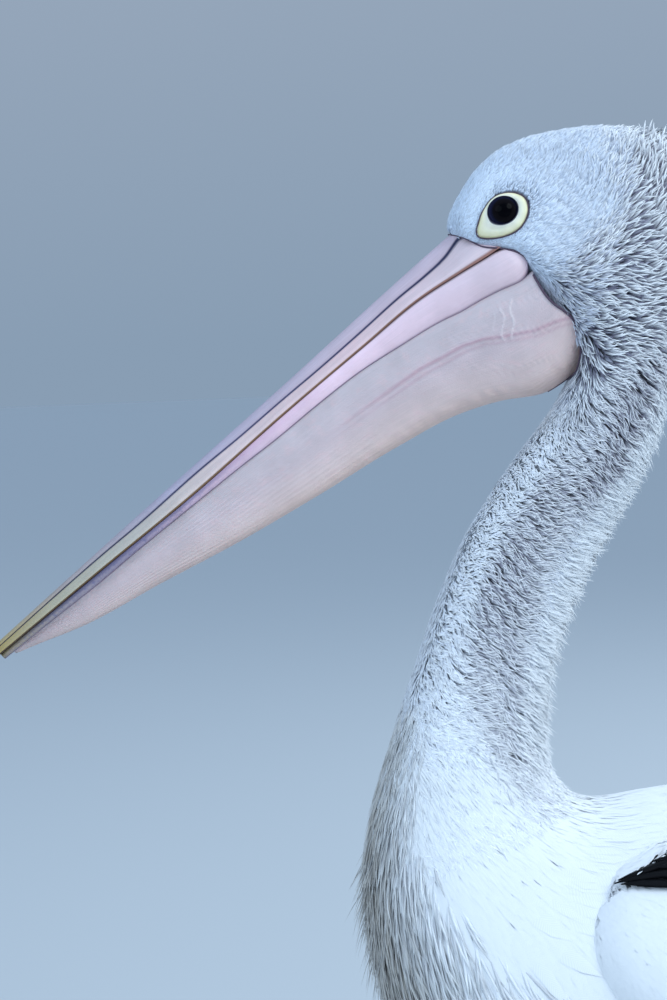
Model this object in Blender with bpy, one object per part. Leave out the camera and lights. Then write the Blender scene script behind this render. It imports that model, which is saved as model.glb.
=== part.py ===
"""Australian pelican, standing, as a life-size still model.

Metres, +Z up. The bird faces -Y and its left side is +X. The mid plane of the body is X = 0 and the
floor is Z = 0. The body is one long form, from the forehead over the S of the neck to the rump, parted
by thin cuts; the bill, pouch, wings, tail and legs are set against it with a gap of GAP.
"""

import math

import bpy
import bmesh
import numpy as np
from mathutils import Matrix, Vector

GAP = 0.0003            # space kept between two solids that touch
SIDES = ((1, "left"), (-1, "right"))

# ---------------------------------------------------------------- the body's long form
# One row for each section: the point on the back line, the point on the front or belly line (Y, Z),
# half width, how far down from the back line the section is widest, and the roundness of its lower
# half (1 is an ellipse, less is boxier).
SECTIONS = (
    ((-0.170, 0.826), (-0.166, 0.821), 0.004, 0.50, 1.00),   # feather point over the culmen
    ((-0.168, 0.836), (-0.153, 0.814), 0.018, 0.58, 0.60),
    ((-0.161, 0.849), (-0.139, 0.811), 0.026, 0.60, 0.55),   # lores
    ((-0.149, 0.865), (-0.124, 0.806), 0.031, 0.60, 0.55),   # eye
    ((-0.131, 0.878), (-0.113, 0.792), 0.034, 0.58, 0.60),
    ((-0.102, 0.886), (-0.102, 0.776), 0.037, 0.55, 0.70),   # crown
    ((-0.064, 0.888), (-0.094, 0.760), 0.039, 0.52, 0.80),
    ((-0.027, 0.877), (-0.091, 0.742), 0.040, 0.50, 0.90),   # nape
    ((-0.008, 0.838), (-0.094, 0.728), 0.040, 0.50, 1.00),
    ((-0.010, 0.790), (-0.101, 0.716), 0.038, 0.50, 1.00),
    ((-0.022, 0.740), (-0.110, 0.703), 0.036, 0.50, 1.00),   # throat
    ((-0.043, 0.680), (-0.121, 0.690), 0.035, 0.50, 1.00),
    ((-0.076, 0.625), (-0.141, 0.665), 0.035, 0.50, 1.00),
    ((-0.094, 0.592), (-0.165, 0.629), 0.036, 0.50, 1.00),
    ((-0.110, 0.552), (-0.185, 0.587), 0.038, 0.50, 1.00),   # middle of the neck
    ((-0.115, 0.530), (-0.199, 0.550), 0.041, 0.50, 1.00),
    ((-0.118, 0.495), (-0.216, 0.502), 0.048, 0.50, 1.00),
    ((-0.114, 0.470), (-0.233, 0.443), 0.060, 0.52, 1.00),   # root of the neck
    ((-0.106, 0.459), (-0.238, 0.395), 0.074, 0.54, 1.00),
    ((-0.098, 0.454), (-0.233, 0.352), 0.088, 0.55, 1.00),
    ((-0.088, 0.451), (-0.219, 0.312), 0.100, 0.56, 0.95),   # breast
    ((-0.074, 0.451), (-0.197, 0.271), 0.109, 0.56, 0.92),
    ((-0.050, 0.455), (-0.160, 0.226), 0.116, 0.55, 0.90),
    ((-0.015, 0.458), (-0.110, 0.186), 0.120, 0.54, 0.88),
    ((0.028, 0.456), (-0.046, 0.156), 0.122, 0.52, 0.86),    # back and belly
    ((0.085, 0.443), (0.030, 0.141), 0.120, 0.50, 0.86),
    ((0.150, 0.415), (0.112, 0.145), 0.112, 0.48, 0.88),
    ((0.216, 0.377), (0.192, 0.168), 0.098, 0.47, 0.90),
    ((0.280, 0.335), (0.264, 0.201), 0.078, 0.46, 0.95),     # rump and vent
    ((0.335, 0.297), (0.326, 0.221), 0.056, 0.46, 1.00),
    ((0.378, 0.268), (0.372, 0.228), 0.040, 0.48, 1.00),     # root of the tail
)
# Node name, first and last section, and the rings of the mesh.
BODY_NODES = (
    ("head", 0.0, 8.6, 13),
    ("neck_upper", 8.6, 12.4, 6),
    ("neck_middle", 12.4, 15.2, 4),
    ("neck_lower", 15.2, 17.6, 4),
    ("trunk", 17.6, 28.0, 13),
    ("rump", 28.0, 30.0, 3),
)
BODY_SIDES = 22

# ---------------------------------------------------------------- bill and pouch
BILL_ROOT = Vector((0.0, -0.169, 0.823))     # where the feathers end on the culmen
BILL_DROP = math.radians(40.2)               # the bill's fall below level
BILL_LENGTH = 0.432
NAIL_START = 0.398                           # distances along the bill from its root
NAIL_HOOK = 0.0105                           # how far the nail's tip hangs below the edge
BILL_PLACES = (-0.010, 0.020, 0.055, 0.095, 0.140, 0.190, 0.240, 0.290, 0.330, 0.362, 0.384, 0.394)
RAMUS_REAR = -0.026                          # the rounded rear end of the lower jaw's bars
RIDGE_HALF = ((0.0, 0.0085), (0.10, 0.0068), (0.25, 0.0050), (0.40, 0.0046))
BILL_TOP = ((-0.02, -0.001), (0.0, 0.0), (0.15, 0.0012), (0.32, 0.0032), (0.40, 0.0036))
BILL_HALF = ((-0.012, 0.0275), (0.04, 0.0215), (0.12, 0.0172), (0.22, 0.0172), (0.32, 0.0195),
             (0.37, 0.0175), (0.40, 0.0125))
TOMIUM = ((-0.012, -0.0262), (0.01, -0.0221), (0.04, -0.0170), (0.09, -0.0148), (0.16, -0.0122),
          (0.23, -0.0112), (0.31, -0.0068), (0.40, -0.0026))
RAMUS_LOW = ((-0.024, -0.0540), (0.0, -0.0485), (0.03, -0.0410), (0.07, -0.0315), (0.10, -0.0262),
             (0.17, -0.0216), (0.23, -0.0172), (0.30, -0.0128), (0.40, -0.0072))
RAMUS_HALF = ((-0.026, 0.0310), (0.0, 0.0300), (0.04, 0.0255), (0.12, 0.0186), (0.22, 0.0172),
              (0.32, 0.0188), (0.37, 0.0165), (0.40, 0.0105))
POUCH_LOW = ((-0.030, -0.1080), (0.0, -0.1205), (0.022, -0.1170), (0.047, -0.1015), (0.072, -0.0900),
             (0.114, -0.0790), (0.175, -0.0672), (0.233, -0.0548), (0.290, -0.0402), (0.349, -0.0255),
             (0.374, -0.0160), (0.396, -0.0080))
POUCH_HALF = ((-0.030, 0.0315), (0.0, 0.0310), (0.047, 0.0245), (0.12, 0.0170), (0.25, 0.0140),
              (0.396, 0.0090))

# ---------------------------------------------------------------- eyes
EYE_PLACE = (0.0265, -0.1355, 0.8365)        # left eyeball's centre
EYE_RADIUS = 0.0120
RING_PLACE = (0.0240, -0.1335, 0.8332)       # centre of the ring of bare skin
RING_HALF = (0.0104, 0.0205, 0.0172)         # its half thickness, half length and half height
RING_TILT = math.radians(-14)

# ---------------------------------------------------------------- wings, folded
# The folded wings lie on one smooth envelope. Each row: Y, height of its middle, half height, half width,
# how deep the wing reaches in, and the edges of its four bands of feathers as angles from the top:
# upper edge, scapulars | coverts, coverts | secondaries, secondaries | primaries, lower edge.
ENVELOPE = (
    (-0.106, 0.376, 0.040, 0.094, 0.030, 78, 78, 100, 100, 100),
    (-0.097, 0.370, 0.064, 0.110, 0.034, 56, 56, 114, 114, 114),
    (-0.080, 0.362, 0.087, 0.123, 0.038, 42, 50, 126, 126, 126),
    (-0.055, 0.348, 0.110, 0.132, 0.040, 33, 49, 130, 132, 132),
    (-0.025, 0.333, 0.129, 0.138, 0.040, 31, 52, 128, 137, 137),
    (0.010, 0.319, 0.139, 0.142, 0.040, 30, 56, 121, 141, 141),
    (0.055, 0.306, 0.143, 0.144, 0.040, 29, 61, 111, 143, 143),
    (0.105, 0.294, 0.141, 0.142, 0.040, 26, 63, 100, 138, 144),
    (0.155, 0.283, 0.131, 0.137, 0.038, 23, 62, 90, 128, 144),
    (0.205, 0.272, 0.118, 0.128, 0.034, 20, 58, 79, 117, 140),
    (0.255, 0.262, 0.101, 0.113, 0.030, 18, 50, 64, 106, 135),
    (0.300, 0.253, 0.084, 0.096, 0.026, 17, 39, 44, 95, 129),
    (0.345, 0.243, 0.066, 0.078, 0.022, 17, 24, 24, 82, 122),
    (0.390, 0.232, 0.050, 0.060, 0.017, 18, 18, 18, 64, 116),
    (0.430, 0.220, 0.037, 0.045, 0.013, 22, 22, 22, 30, 110),
    (0.465, 0.207, 0.026, 0.032, 0.010, 30, 30, 30, 30, 104),
    (0.492, 0.196, 0.015, 0.020, 0.007, 45, 45, 45, 45, 92),
)
WING_SINK = (0.008, 0.022)                    # how far the envelope dips along its upper and lower edge
SINK_ENDS = (0.28, 0.40)                      # the dip fades out between these places
WING_BANDS = (
    ("scapulars", "black", 0.0030), ("wing_coverts", "white", 0.0050),
    ("secondaries", "black", 0.0010), ("primaries", "black", 0.0),
)

# ---------------------------------------------------------------- tail
TAIL_ROOT = (0.364, 0.240)
TAIL_DROP = math.radians(30)
TAIL_LENGTH = 0.150
TAIL_FEATHERS = 11                            # lobes that show along the end
TAIL_HALF = (0.036, 0.074)                    # half width at the root and at the end
TAIL_THICK = (0.024, 0.004)

# ---------------------------------------------------------------- legs
LEG_OUT = 0.068                               # each leg's distance from the mid plane
HEEL = (0.058, 0.138)                         # ankle joint, high on the leg
SHANK_FOOT = (0.050, 0.020)
THIGH_TOP = (0.030, 0.215)
THIGH_HALF = (0.046, 0.0155)
WEB_THICK = 0.0030
# Toe: name, angle outward from straight ahead, length to the claw's root, radius at the root.
TOES = (
    ("hind", -76, 0.050, 0.0066), ("inner", -27, 0.084, 0.0072),
    ("middle", 3, 0.116, 0.0080), ("outer", 27, 0.110, 0.0072),
)
CLAW_LENGTH = 0.013

COLOURS = {                                   # colour, roughness
    "white": ((0.86, 0.89, 0.94), 0.75), "grey": ((0.62, 0.63, 0.68), 0.80),
    "black": ((0.020, 0.021, 0.026), 0.55), "bill_pink": ((0.80, 0.62, 0.66), 0.40),
    "ramus_pink": ((0.84, 0.66, 0.76), 0.38), "pouch_skin": ((0.74, 0.64, 0.64), 0.50),
    "nail_gold": ((0.72, 0.50, 0.12), 0.40), "ring_yellow": ((0.86, 0.82, 0.45), 0.45),
    "eye_dark": ((0.010, 0.010, 0.014), 0.08), "leg_grey": ((0.33, 0.37, 0.43), 0.55),
    "claw_horn": ((0.16, 0.14, 0.13), 0.35),
}


def clear_scene():
    for old in list(bpy.data.objects):
        bpy.data.objects.remove(old)


def finish(name):
    """The Principled material of that name, made once."""
    made = bpy.data.materials.get(name)
    if made is None:
        colour, roughness = COLOURS[name]
        made = bpy.data.materials.new(name)
        made.use_nodes = True
        shader = made.node_tree.nodes["Principled BSDF"]
        shader.inputs["Base Color"].default_value = (*colour, 1.0)
        shader.inputs["Roughness"].default_value = roughness
        shader.inputs["Metallic"].default_value = 0.0
    return made


def add_object(name, mesh, colour):
    mesh.materials.append(finish(colour))
    made = bpy.data.objects.new(name, mesh)
    bpy.context.scene.collection.objects.link(made)
    return made


def smooth_curve(knots, values, at):
    """A smooth run through values at knots, with no overshoot at the ends (monotone cubic)."""
    knots = np.asarray(knots, float)
    values = np.asarray(values, float)
    at = np.clip(np.asarray(at, float), knots[0], knots[-1])
    step = np.diff(knots)
    slope = np.diff(values) / step
    tangent = np.empty(len(values))
    tangent[0], tangent[-1] = slope[0], slope[-1]
    flat = slope[:-1] * slope[1:] <= 0
    with np.errstate(divide="ignore", invalid="ignore"):
        mean = 2 * slope[:-1] * slope[1:] / (slope[:-1] + slope[1:])
    tangent[1:-1] = np.where(flat, 0.0, mean)
    i = np.clip(np.searchsorted(knots, at, side="right") - 1, 0, len(step) - 1)
    t = (at - knots[i]) / step[i]
    return ((2 * t**3 - 3 * t**2 + 1) * values[i] + (t**3 - 2 * t**2 + t) * step[i] * tangent[i]
            + (3 * t**2 - 2 * t**3) * values[i + 1] + (t**3 - t**2) * step[i] * tangent[i + 1])


def profile(table, at):
    """One of the tables of (place, value) pairs above, read at a place."""
    return float(smooth_curve([row[0] for row in table], [row[1] for row in table], at))


def spline(points, at):
    """A Catmull-Rom run through the points, read at a place counted in points."""
    points = np.asarray(points, float)
    padded = np.concatenate([2 * points[:1] - points[1:2], points, 2 * points[-1:] - points[-2:-1]])
    i = int(min(max(math.floor(at), 0), len(points) - 2))
    t = at - i
    a, b, c, d = padded[i:i + 4]
    return 0.5 * (2 * b + (c - a) * t + (2 * a - 5 * b + 4 * c - d) * t**2 + (3 * b - a - 3 * c + d) * t**3)


def power(value, exponent):
    return np.sign(value) * np.abs(value) ** exponent


def face_outwards(made):
    """Turns every face of a closed mesh the same way, outwards."""
    bmesh.ops.recalc_face_normals(made, faces=made.faces)
    if made.calc_volume(signed=True) < 0:
        bmesh.ops.reverse_faces(made, faces=made.faces)


def tube_mesh(name, rings, flat=False):
    """A closed mesh through rings of equally many points. Its ends are fans, or ladders when it is flat."""
    made = bmesh.new()
    rows = [[made.verts.new(p) for p in ring] for ring in rings]
    count = len(rows[0])
    for low, high in zip(rows, rows[1:]):
        for i in range(count):
            j = (i + 1) % count
            made.faces.new((low[i], low[j], high[j], high[i]))
    for row in (rows[0], rows[-1]):
        if flat:
            for i in range(count // 2 - 1):
                made.faces.new((row[i], row[i + 1], row[-2 - i], row[-1 - i]))
            continue
        middle = made.verts.new(sum((v.co for v in row), Vector()) / count)
        for i in range(count):
            made.faces.new((row[i], row[(i + 1) % count], middle))
    bmesh.ops.triangulate(made, faces=made.faces)
    face_outwards(made)
    mesh = bpy.data.meshes.new(name)
    made.to_mesh(mesh)
    made.free()
    mesh.shade_smooth()
    return mesh


def mirrored(mesh, name):
    """A copy of the mesh on the other side of the mid plane."""
    made = bmesh.new()
    made.from_mesh(mesh)
    bmesh.ops.scale(made, vec=(-1, 1, 1), verts=made.verts)
    bmesh.ops.reverse_faces(made, faces=made.faces)
    copy = bpy.data.meshes.new(name)
    made.to_mesh(copy)
    made.free()
    return copy


def grown(source, by=GAP):
    """A hidden copy of an object, a little larger all round, to cut its neighbours with."""
    graph = bpy.context.evaluated_depsgraph_get()
    return grown_mesh(source.name, bpy.data.meshes.new_from_object(source.evaluated_get(graph)), by)


def grown_mesh(name, mesh, by=GAP):
    made = bmesh.new()
    made.from_mesh(mesh)
    bmesh.ops.remove_doubles(made, verts=made.verts, dist=1e-6)
    made.normal_update()
    places = [v.co + v.normal * by * v.calc_shell_factor() for v in made.verts]
    for vert, place in zip(made.verts, places):
        vert.co = place
    made.to_mesh(mesh)
    made.free()
    cutter = bpy.data.objects.new("cutter_" + name, mesh)
    bpy.context.scene.collection.objects.link(cutter)
    cutter.hide_render = True
    cutter.display_type = "WIRE"
    return cutter


def cut_by(target, cutters):
    for cutter in cutters:
        cut = target.modifiers.new("less_" + cutter.name[:40], "BOOLEAN")
        cut.operation = "DIFFERENCE"
        cut.solver = "EXACT"
        cut.object = cutter


# ---------------------------------------------------------------- head, neck and trunk
def body_ring(at):
    """The body's section at a place counted in rows of SECTIONS."""
    rows = [(*back, *front, half, widest, boxy) for back, front, half, widest, boxy in SECTIONS]
    back_y, back_z, front_y, front_z, half, widest, boxy = spline(rows, at)
    back, front = Vector((0, back_y, back_z)), Vector((0, front_y, front_z))
    middle = back.lerp(front, widest)
    ring = []
    for i in range(BODY_SIDES):
        angle = 2 * math.pi * i / BODY_SIDES
        down, out = -math.cos(angle), math.sin(angle)
        round_by = 1.0 if down < 0 else boxy
        end = back if down < 0 else front
        lower = middle.lerp(end, abs(power(down, round_by)))
        ring.append(lower + Vector((half * power(out, round_by), 0, 0)))
    return ring


def ring_normal(ring):
    """Which way a body ring faces, towards the tail."""
    back_to_front = ring[BODY_SIDES // 2] - ring[0]
    return Vector((0, -back_to_front.z, back_to_front.y)).normalized()


def build_body():
    nodes = {}
    for name, first, last, count in BODY_NODES:
        rings = [body_ring(first + (last - first) * i / count) for i in range(count + 1)]
        if first > 0:
            shift = ring_normal(rings[0]) * GAP
            towards = rings[1][0] + rings[1][BODY_SIDES // 2] - rings[0][0] - rings[0][BODY_SIDES // 2]
            if shift.dot(towards) < 0:
                shift = -shift
            rings[0] = [p + shift for p in rings[0]]
        colour = "grey" if name in ("neck_upper", "neck_middle") else "white"
        nodes[name] = add_object(name, tube_mesh(name, rings), colour)
    return nodes


# ---------------------------------------------------------------- bill
def bill_point(along, up, out):
    """A point in the bill's own frame: along it from the root, up from the culmen line, and outward."""
    fall, level = math.sin(BILL_DROP), math.cos(BILL_DROP)
    forward = Vector((0, -level, -fall))
    above = Vector((0, -fall, level))
    return BILL_ROOT + forward * along + above * up + Vector((out, 0, 0))


def upper_bill_ring(at):
    """Ridge, the groove beside it, the sloping side plate and the flat underside."""
    top, ridge = profile(BILL_TOP, at), profile(RIDGE_HALF, at)
    half, edge = profile(BILL_HALF, at), profile(TOMIUM, at)
    shoulder = top - min(ridge * 0.95, (top - edge) * 0.5)
    side = shoulder - edge
    right = [
        (0.0, top), (ridge * 0.50, top - ridge * 0.12), (ridge * 0.85, top - ridge * 0.40),
        (ridge, shoulder), (half * 0.78, edge + side * 0.60), (half * 0.97, edge + side * 0.34),
        (half, edge + side * 0.12), (half * 0.95, edge), (half * 0.5, edge + 0.0006), (0.0, edge + 0.0008),
    ]
    left = [(-x, h) for x, h in right[-2:0:-1]]
    return [bill_point(at, h, x) for x, h in right + left]


def nail_ring(share):
    """The hooked nail that caps the tip."""
    at = NAIL_START + GAP + (BILL_LENGTH - NAIL_START) * (1 - (1 - share) ** 1.4)
    half = profile(BILL_HALF, NAIL_START) * math.sqrt(max(1 - share**2.4, 0.03))
    top = profile(BILL_TOP, NAIL_START) - (NAIL_HOOK + 0.001) * share**2.6
    low = profile(TOMIUM, NAIL_START) - NAIL_HOOK * share**1.3
    low = min(low, top - 0.0022)
    middle, deep = (top + low) / 2, (top - low) / 2
    turns = [2 * math.pi * i / 12 for i in range(12)]
    return [bill_point(at, middle + deep * math.cos(a), half * math.sin(a)) for a in turns]


def ramus_ring(at):
    """The bar of the lower jaw on the left side: rounded outside, flat inside and underneath."""
    high, low = profile(TOMIUM, at) - GAP, profile(RAMUS_LOW, at)
    out = profile(RAMUS_HALF, at)
    wall = min(0.0190, (high - low) * 0.80)
    inner = max(out - wall, GAP / 2)
    rear = (at - RAMUS_REAR) / 0.016
    if rear < 1:                                # the rounded rear end
        share = math.sqrt(max(1 - (1 - rear) ** 2, 0.08))
        middle = (high + low) / 2
        high, low = middle + (high - middle) * share, middle + (low - middle) * share
    deep, wide = high - low, out - inner
    section = ((0.0, 0.0), (0.78, 0.0), (0.94, 0.20), (1.0, 0.45), (0.97, 0.72), (0.86, 0.94),
               (0.70, 1.0), (0.0, 1.0))
    return [bill_point(at, low + deep * up, inner + wide * across) for across, up in section]


def pouch_ring(at):
    """The hanging skin below the rami: wide at the jaw, drawn in to a rounded keel."""
    top, low = profile(RAMUS_LOW, at) - GAP, profile(POUCH_LOW, at)
    wide, out = profile(POUCH_HALF, at), profile(RAMUS_HALF, at) - 0.0030
    keel = 0.0038
    right = [
        (0.0, top), (out, top), (wide * 0.98, top * 0.80 + low * 0.20), (wide * 0.90, top * 0.52 + low * 0.48),
        (wide * 0.68, top * 0.26 + low * 0.74), (wide * 0.36 + keel * 0.5, top * 0.08 + low * 0.92),
        (keel * 0.75, low + 0.0008), (0.0, low),
    ]
    left = [(-x, h) for x, h in right[-2:0:-1]]
    return [bill_point(at, h, x) for x, h in right + left]


def stations(first, last, count):
    return [first + (last - first) * i / count for i in range(count + 1)]


def build_bill(body, rings_cut):
    skull = grown_mesh("skull", body["head"].data.copy())
    rings = [upper_bill_ring(at) for at in (-0.030, *BILL_PLACES, NAIL_START)]
    upper = add_object("bill_upper", tube_mesh("bill_upper", rings), "bill_pink")
    cut_by(upper, [skull, *rings_cut])
    rings = [nail_ring(i / 6) for i in range(7)]
    add_object("bill_nail", tube_mesh("bill_nail", rings), "nail_gold")
    places = (RAMUS_REAR, RAMUS_REAR + 0.004, RAMUS_REAR + 0.010, *BILL_PLACES)
    rings = [ramus_ring(at) for at in places]
    jaw = tube_mesh("bill_lower_left", rings)
    for side, word in SIDES:
        name = "bill_lower_" + word
        made = add_object(name, jaw if side > 0 else mirrored(jaw, name), "ramus_pink")
        cut_by(made, [skull])
    rings = [pouch_ring(at) for at in (-0.026, *BILL_PLACES[:-1])]
    pouch = add_object("pouch", tube_mesh("pouch", rings), "pouch_skin")
    cut_by(pouch, [skull])


# ---------------------------------------------------------------- eyes
def ball(name, radius, rings, around):
    made = bmesh.new()
    bmesh.ops.create_uvsphere(made, u_segments=around, v_segments=rings, radius=radius)
    bmesh.ops.triangulate(made, faces=made.faces)
    mesh = bpy.data.meshes.new(name)
    made.to_mesh(mesh)
    made.free()
    mesh.shade_smooth()
    return mesh


def build_eyes(body):
    """Dark eyeballs, each set in a raised oval ring of bare skin that is let into the head."""
    head = body["head"]
    sockets = []
    turn = Matrix.Rotation(math.radians(90), 4, "Y")
    for side, word in SIDES:
        eye = add_object("eye_" + word, ball("eye_" + word, EYE_RADIUS, 8, 12), "eye_dark")
        eye.data.transform(Matrix.Translation((EYE_PLACE[0] * side, *EYE_PLACE[1:])) @ turn)
        ring = add_object("eye_ring_" + word, ball("eye_ring_" + word, 1.0, 6, 14), "ring_yellow")
        place = Matrix.Translation((RING_PLACE[0] * side, *RING_PLACE[1:]))
        shape = Matrix.Rotation(RING_TILT, 4, "X") @ Matrix.Diagonal((*RING_HALF, 1.0))
        ring.data.transform(place @ shape @ turn)
        sockets.append(grown(ring))
        cut_by(ring, [grown(eye)])
        cut_by(head, [sockets[-1], grown(eye)])
    return sockets


# ---------------------------------------------------------------- wings
def envelope_point(row, angle, out):
    """A point over one row of the wings' envelope, out from it along the section."""
    y, middle, high, wide = row[:4]
    upper, lower = row[5], row[-1]
    place = (2 * angle - upper - lower) / (lower - upper)
    fade = min(max((SINK_ENDS[1] - y) / (SINK_ENDS[1] - SINK_ENDS[0]), 0.0), 1.0)
    sunk = WING_SINK[place > 0] * fade * (1 - math.sqrt(max(1 - abs(place) ** 3, 0.0)))
    turn = math.radians(angle)
    reach = out - sunk
    return Vector(((wide + reach) * math.sin(turn), y, middle + (high + reach) * math.cos(turn)))


def wing_band(name, band, stands, across=4):
    """One band of feathers: a solid strip of the envelope between two of its lengthwise edges."""
    rings = []
    for row in ENVELOPE:
        wide, deep = row[3], row[4]
        space = math.degrees(GAP / wide)
        high = row[5 + band] + (space if band else 0)
        low = row[6 + band] - (space if band < 3 else 0)
        if low - high < 2.5:
            continue
        outer, inner = [], []
        for k in range(across + 1):
            share = k / across
            angle = high + (low - high) * share
            crown = math.sqrt(max(1 - (2 * share - 1) ** 2, 0.0))
            outer.append(envelope_point(row, angle, stands * crown))
            inner.append(envelope_point(row, angle, -deep))
        rings.append(outer + inner[::-1])
    return tube_mesh(name, rings, flat=True)


def build_wings(tail):
    """White coverts over the wrist, black scapulars above, black secondaries and primaries behind."""
    places = [at for _, first, last, count in BODY_NODES[3:] for at in stations(first, last, count)[:-1]]
    core = tube_mesh("core", [body_ring(at) for at in places + [BODY_NODES[-1][2]]])
    under = [grown_mesh("core", core)]
    for band, (word, colour, stands) in enumerate(WING_BANDS):
        left = wing_band(word, band, stands)
        for side, end in SIDES:
            name = f"{word}_{end}"
            mesh = left if side > 0 else mirrored(left, name)
            made = add_object(name, mesh, colour)
            cut_by(made, under + [grown(tail)] * (word == "primaries"))


# ---------------------------------------------------------------- tail
def build_tail(body):
    """A short fan with one rounded lobe for each pair of feathers."""
    level, fall = math.cos(TAIL_DROP), math.sin(TAIL_DROP)
    across, along = 2 * TAIL_FEATHERS, 4
    back = Vector((0, level, -fall))
    above = Vector((0, fall, level))
    root = Vector((0, *TAIL_ROOT))
    rings = []
    for i in range(along + 1):
        share = i / along
        top, under = [], []
        for k in range(across + 1):
            side = -1 + 2 * k / across
            half = TAIL_HALF[0] + (TAIL_HALF[1] - TAIL_HALF[0]) * share**0.8
            lobe = 0.010 * abs(math.sin(math.pi * TAIL_FEATHERS * (side + 1) / 2)) ** 0.6 * share**4
            reach = (TAIL_LENGTH - 0.010 - 0.026 * side**2) * share + lobe
            thick = TAIL_THICK[0] + (TAIL_THICK[1] - TAIL_THICK[0]) * share**0.6
            thick *= 1 - 0.5 * side**2
            place = root + back * reach + Vector((half * side, 0, 0)) - above * 0.010 * side**2
            top.append(place + above * thick / 2)
            under.append(place - above * thick / 2)
        rings.append(top + under[::-1])
    tail = add_object("tail", tube_mesh("tail", rings, flat=True), "black")
    cut_by(tail, [grown(body["rump"])])
    return tail


# ---------------------------------------------------------------- legs and feet
def limb_mesh(name, places, halves, sides=14):
    """A round limb through places (Y, Z) beside the mid plane, with a half width and half depth at each."""
    rings = []
    for (y, z), (wide, deep) in zip(places, halves):
        turns = [2 * math.pi * i / sides for i in range(sides)]
        rings.append([Vector((LEG_OUT + wide * math.sin(a), y + deep * math.cos(a), z)) for a in turns])
    return tube_mesh(name, rings)


def toe_end(toe):
    _, angle, length, _ = toe
    turn = math.radians(angle)
    return Vector((LEG_OUT + length * math.sin(turn), SHANK_FOOT[0] - length * math.cos(turn), 0))


def foot_height(point, reach):
    """Height of the foot's upper side: the web, with a ridge along each toe and the instep over all."""
    high = WEB_THICK
    root = Vector((LEG_OUT, SHANK_FOOT[0], 0))
    for toe in TOES:
        end = toe_end(toe)
        line = end - root
        share = min(max((point - root).dot(line) / line.length_squared, 0), 1)
        away = (point - root - line * share).length
        knuckle = 1 + 0.10 * math.cos(3 * 2 * math.pi * share)
        radius = toe[3] * (1 - 0.42 * share) * knuckle
        if away < radius:
            high = max(high, radius * 0.55 + math.sqrt(radius**2 - away**2) * 1.05)
    instep = 0.0215 * math.exp(-((reach / 0.020) ** 2))
    return max(high, instep)


def build_foot(side, word):
    """Four toes in one web, flat underneath."""
    root = Vector((LEG_OUT, SHANK_FOOT[0], 0))
    rays = []
    per_web = 4
    ends = [toe_end(toe) for toe in TOES]
    for first, second in zip(TOES, TOES[1:]):
        for k in range(per_web):
            share = k / per_web
            a0, a1 = math.radians(first[1]), math.radians(second[1])
            angle = a0 + (a1 - a0) * share
            straight = first[2] + (second[2] - first[2]) * share
            hollow = 1 - 0.17 * math.sin(math.pi * share)
            rays.append((angle, straight * hollow))
    rays.append((math.radians(TOES[-1][1]), TOES[-1][2]))
    edge = math.radians(4.0)
    rays = [(rays[0][0] - edge, rays[0][1] * 0.94), *rays, (rays[-1][0] + edge, rays[-1][1] * 0.95)]
    made = bmesh.new()
    shares = (0.14, 0.40, 0.64, 0.86, 1.0)
    heel = [(math.radians(a), 0.0125) for a in (80, 130, 180, 230)]
    fan = rays + heel
    top, low = [], []
    for angle, length in fan:
        out = Vector((math.sin(angle), -math.cos(angle), 0))
        top_row, low_row = [], []
        for share in shares:
            place = root + out * length * share
            top_row.append(made.verts.new(place + Vector((0, 0, foot_height(place, length * share)))))
            low_row.append(made.verts.new(place))
        top.append(top_row)
        low.append(low_row)
    peak = made.verts.new(root + Vector((0, 0, foot_height(root, 0))))
    sole = made.verts.new(root)
    count = len(fan)
    for i in range(count):
        j = (i + 1) % count
        made.faces.new((top[i][0], top[j][0], peak))
        made.faces.new((low[i][0], sole, low[j][0]))
        for k in range(len(shares) - 1):
            made.faces.new((top[i][k], top[i][k + 1], top[j][k + 1], top[j][k]))
            made.faces.new((low[i][k], low[j][k], low[j][k + 1], low[i][k + 1]))
        made.faces.new((top[i][-1], low[i][-1], low[j][-1], top[j][-1]))
    bmesh.ops.triangulate(made, faces=made.faces)
    face_outwards(made)
    name = "foot_" + word
    mesh = bpy.data.meshes.new(name)
    made.to_mesh(mesh)
    made.free()
    if side < 0:
        mesh = mirrored(mesh, name)
    foot = add_object(name, mesh, "leg_grey")
    for toe, end in zip(TOES, ends):
        build_claw(side, word, toe, end)
    return foot


def build_claw(side, word, toe, end):
    """A short curved claw in front of a toe, its tip on the floor."""
    name = f"claw_{toe[0]}_{word}"
    angle = math.radians(toe[1])
    out = Vector((math.sin(angle), -math.cos(angle), 0))
    across = Vector((math.cos(angle), math.sin(angle), 0))
    rings = []
    for i in range(5):
        share = i / 4
        radius = 0.0031 * (1 - share) ** 0.7 + 0.0005
        centre = end + out * (CLAW_LENGTH * share + GAP) + Vector((0, 0, 0.0052 - 0.0045 * share**1.6))
        turns = [2 * math.pi * k / 6 for k in range(6)]
        rings.append([centre + across * radius * math.sin(a) + Vector((0, 0, radius * math.cos(a)))
                      for a in turns])
    mesh = tube_mesh(name, rings)
    add_object(name, mesh if side > 0 else mirrored(mesh, name), "claw_horn")


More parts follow.
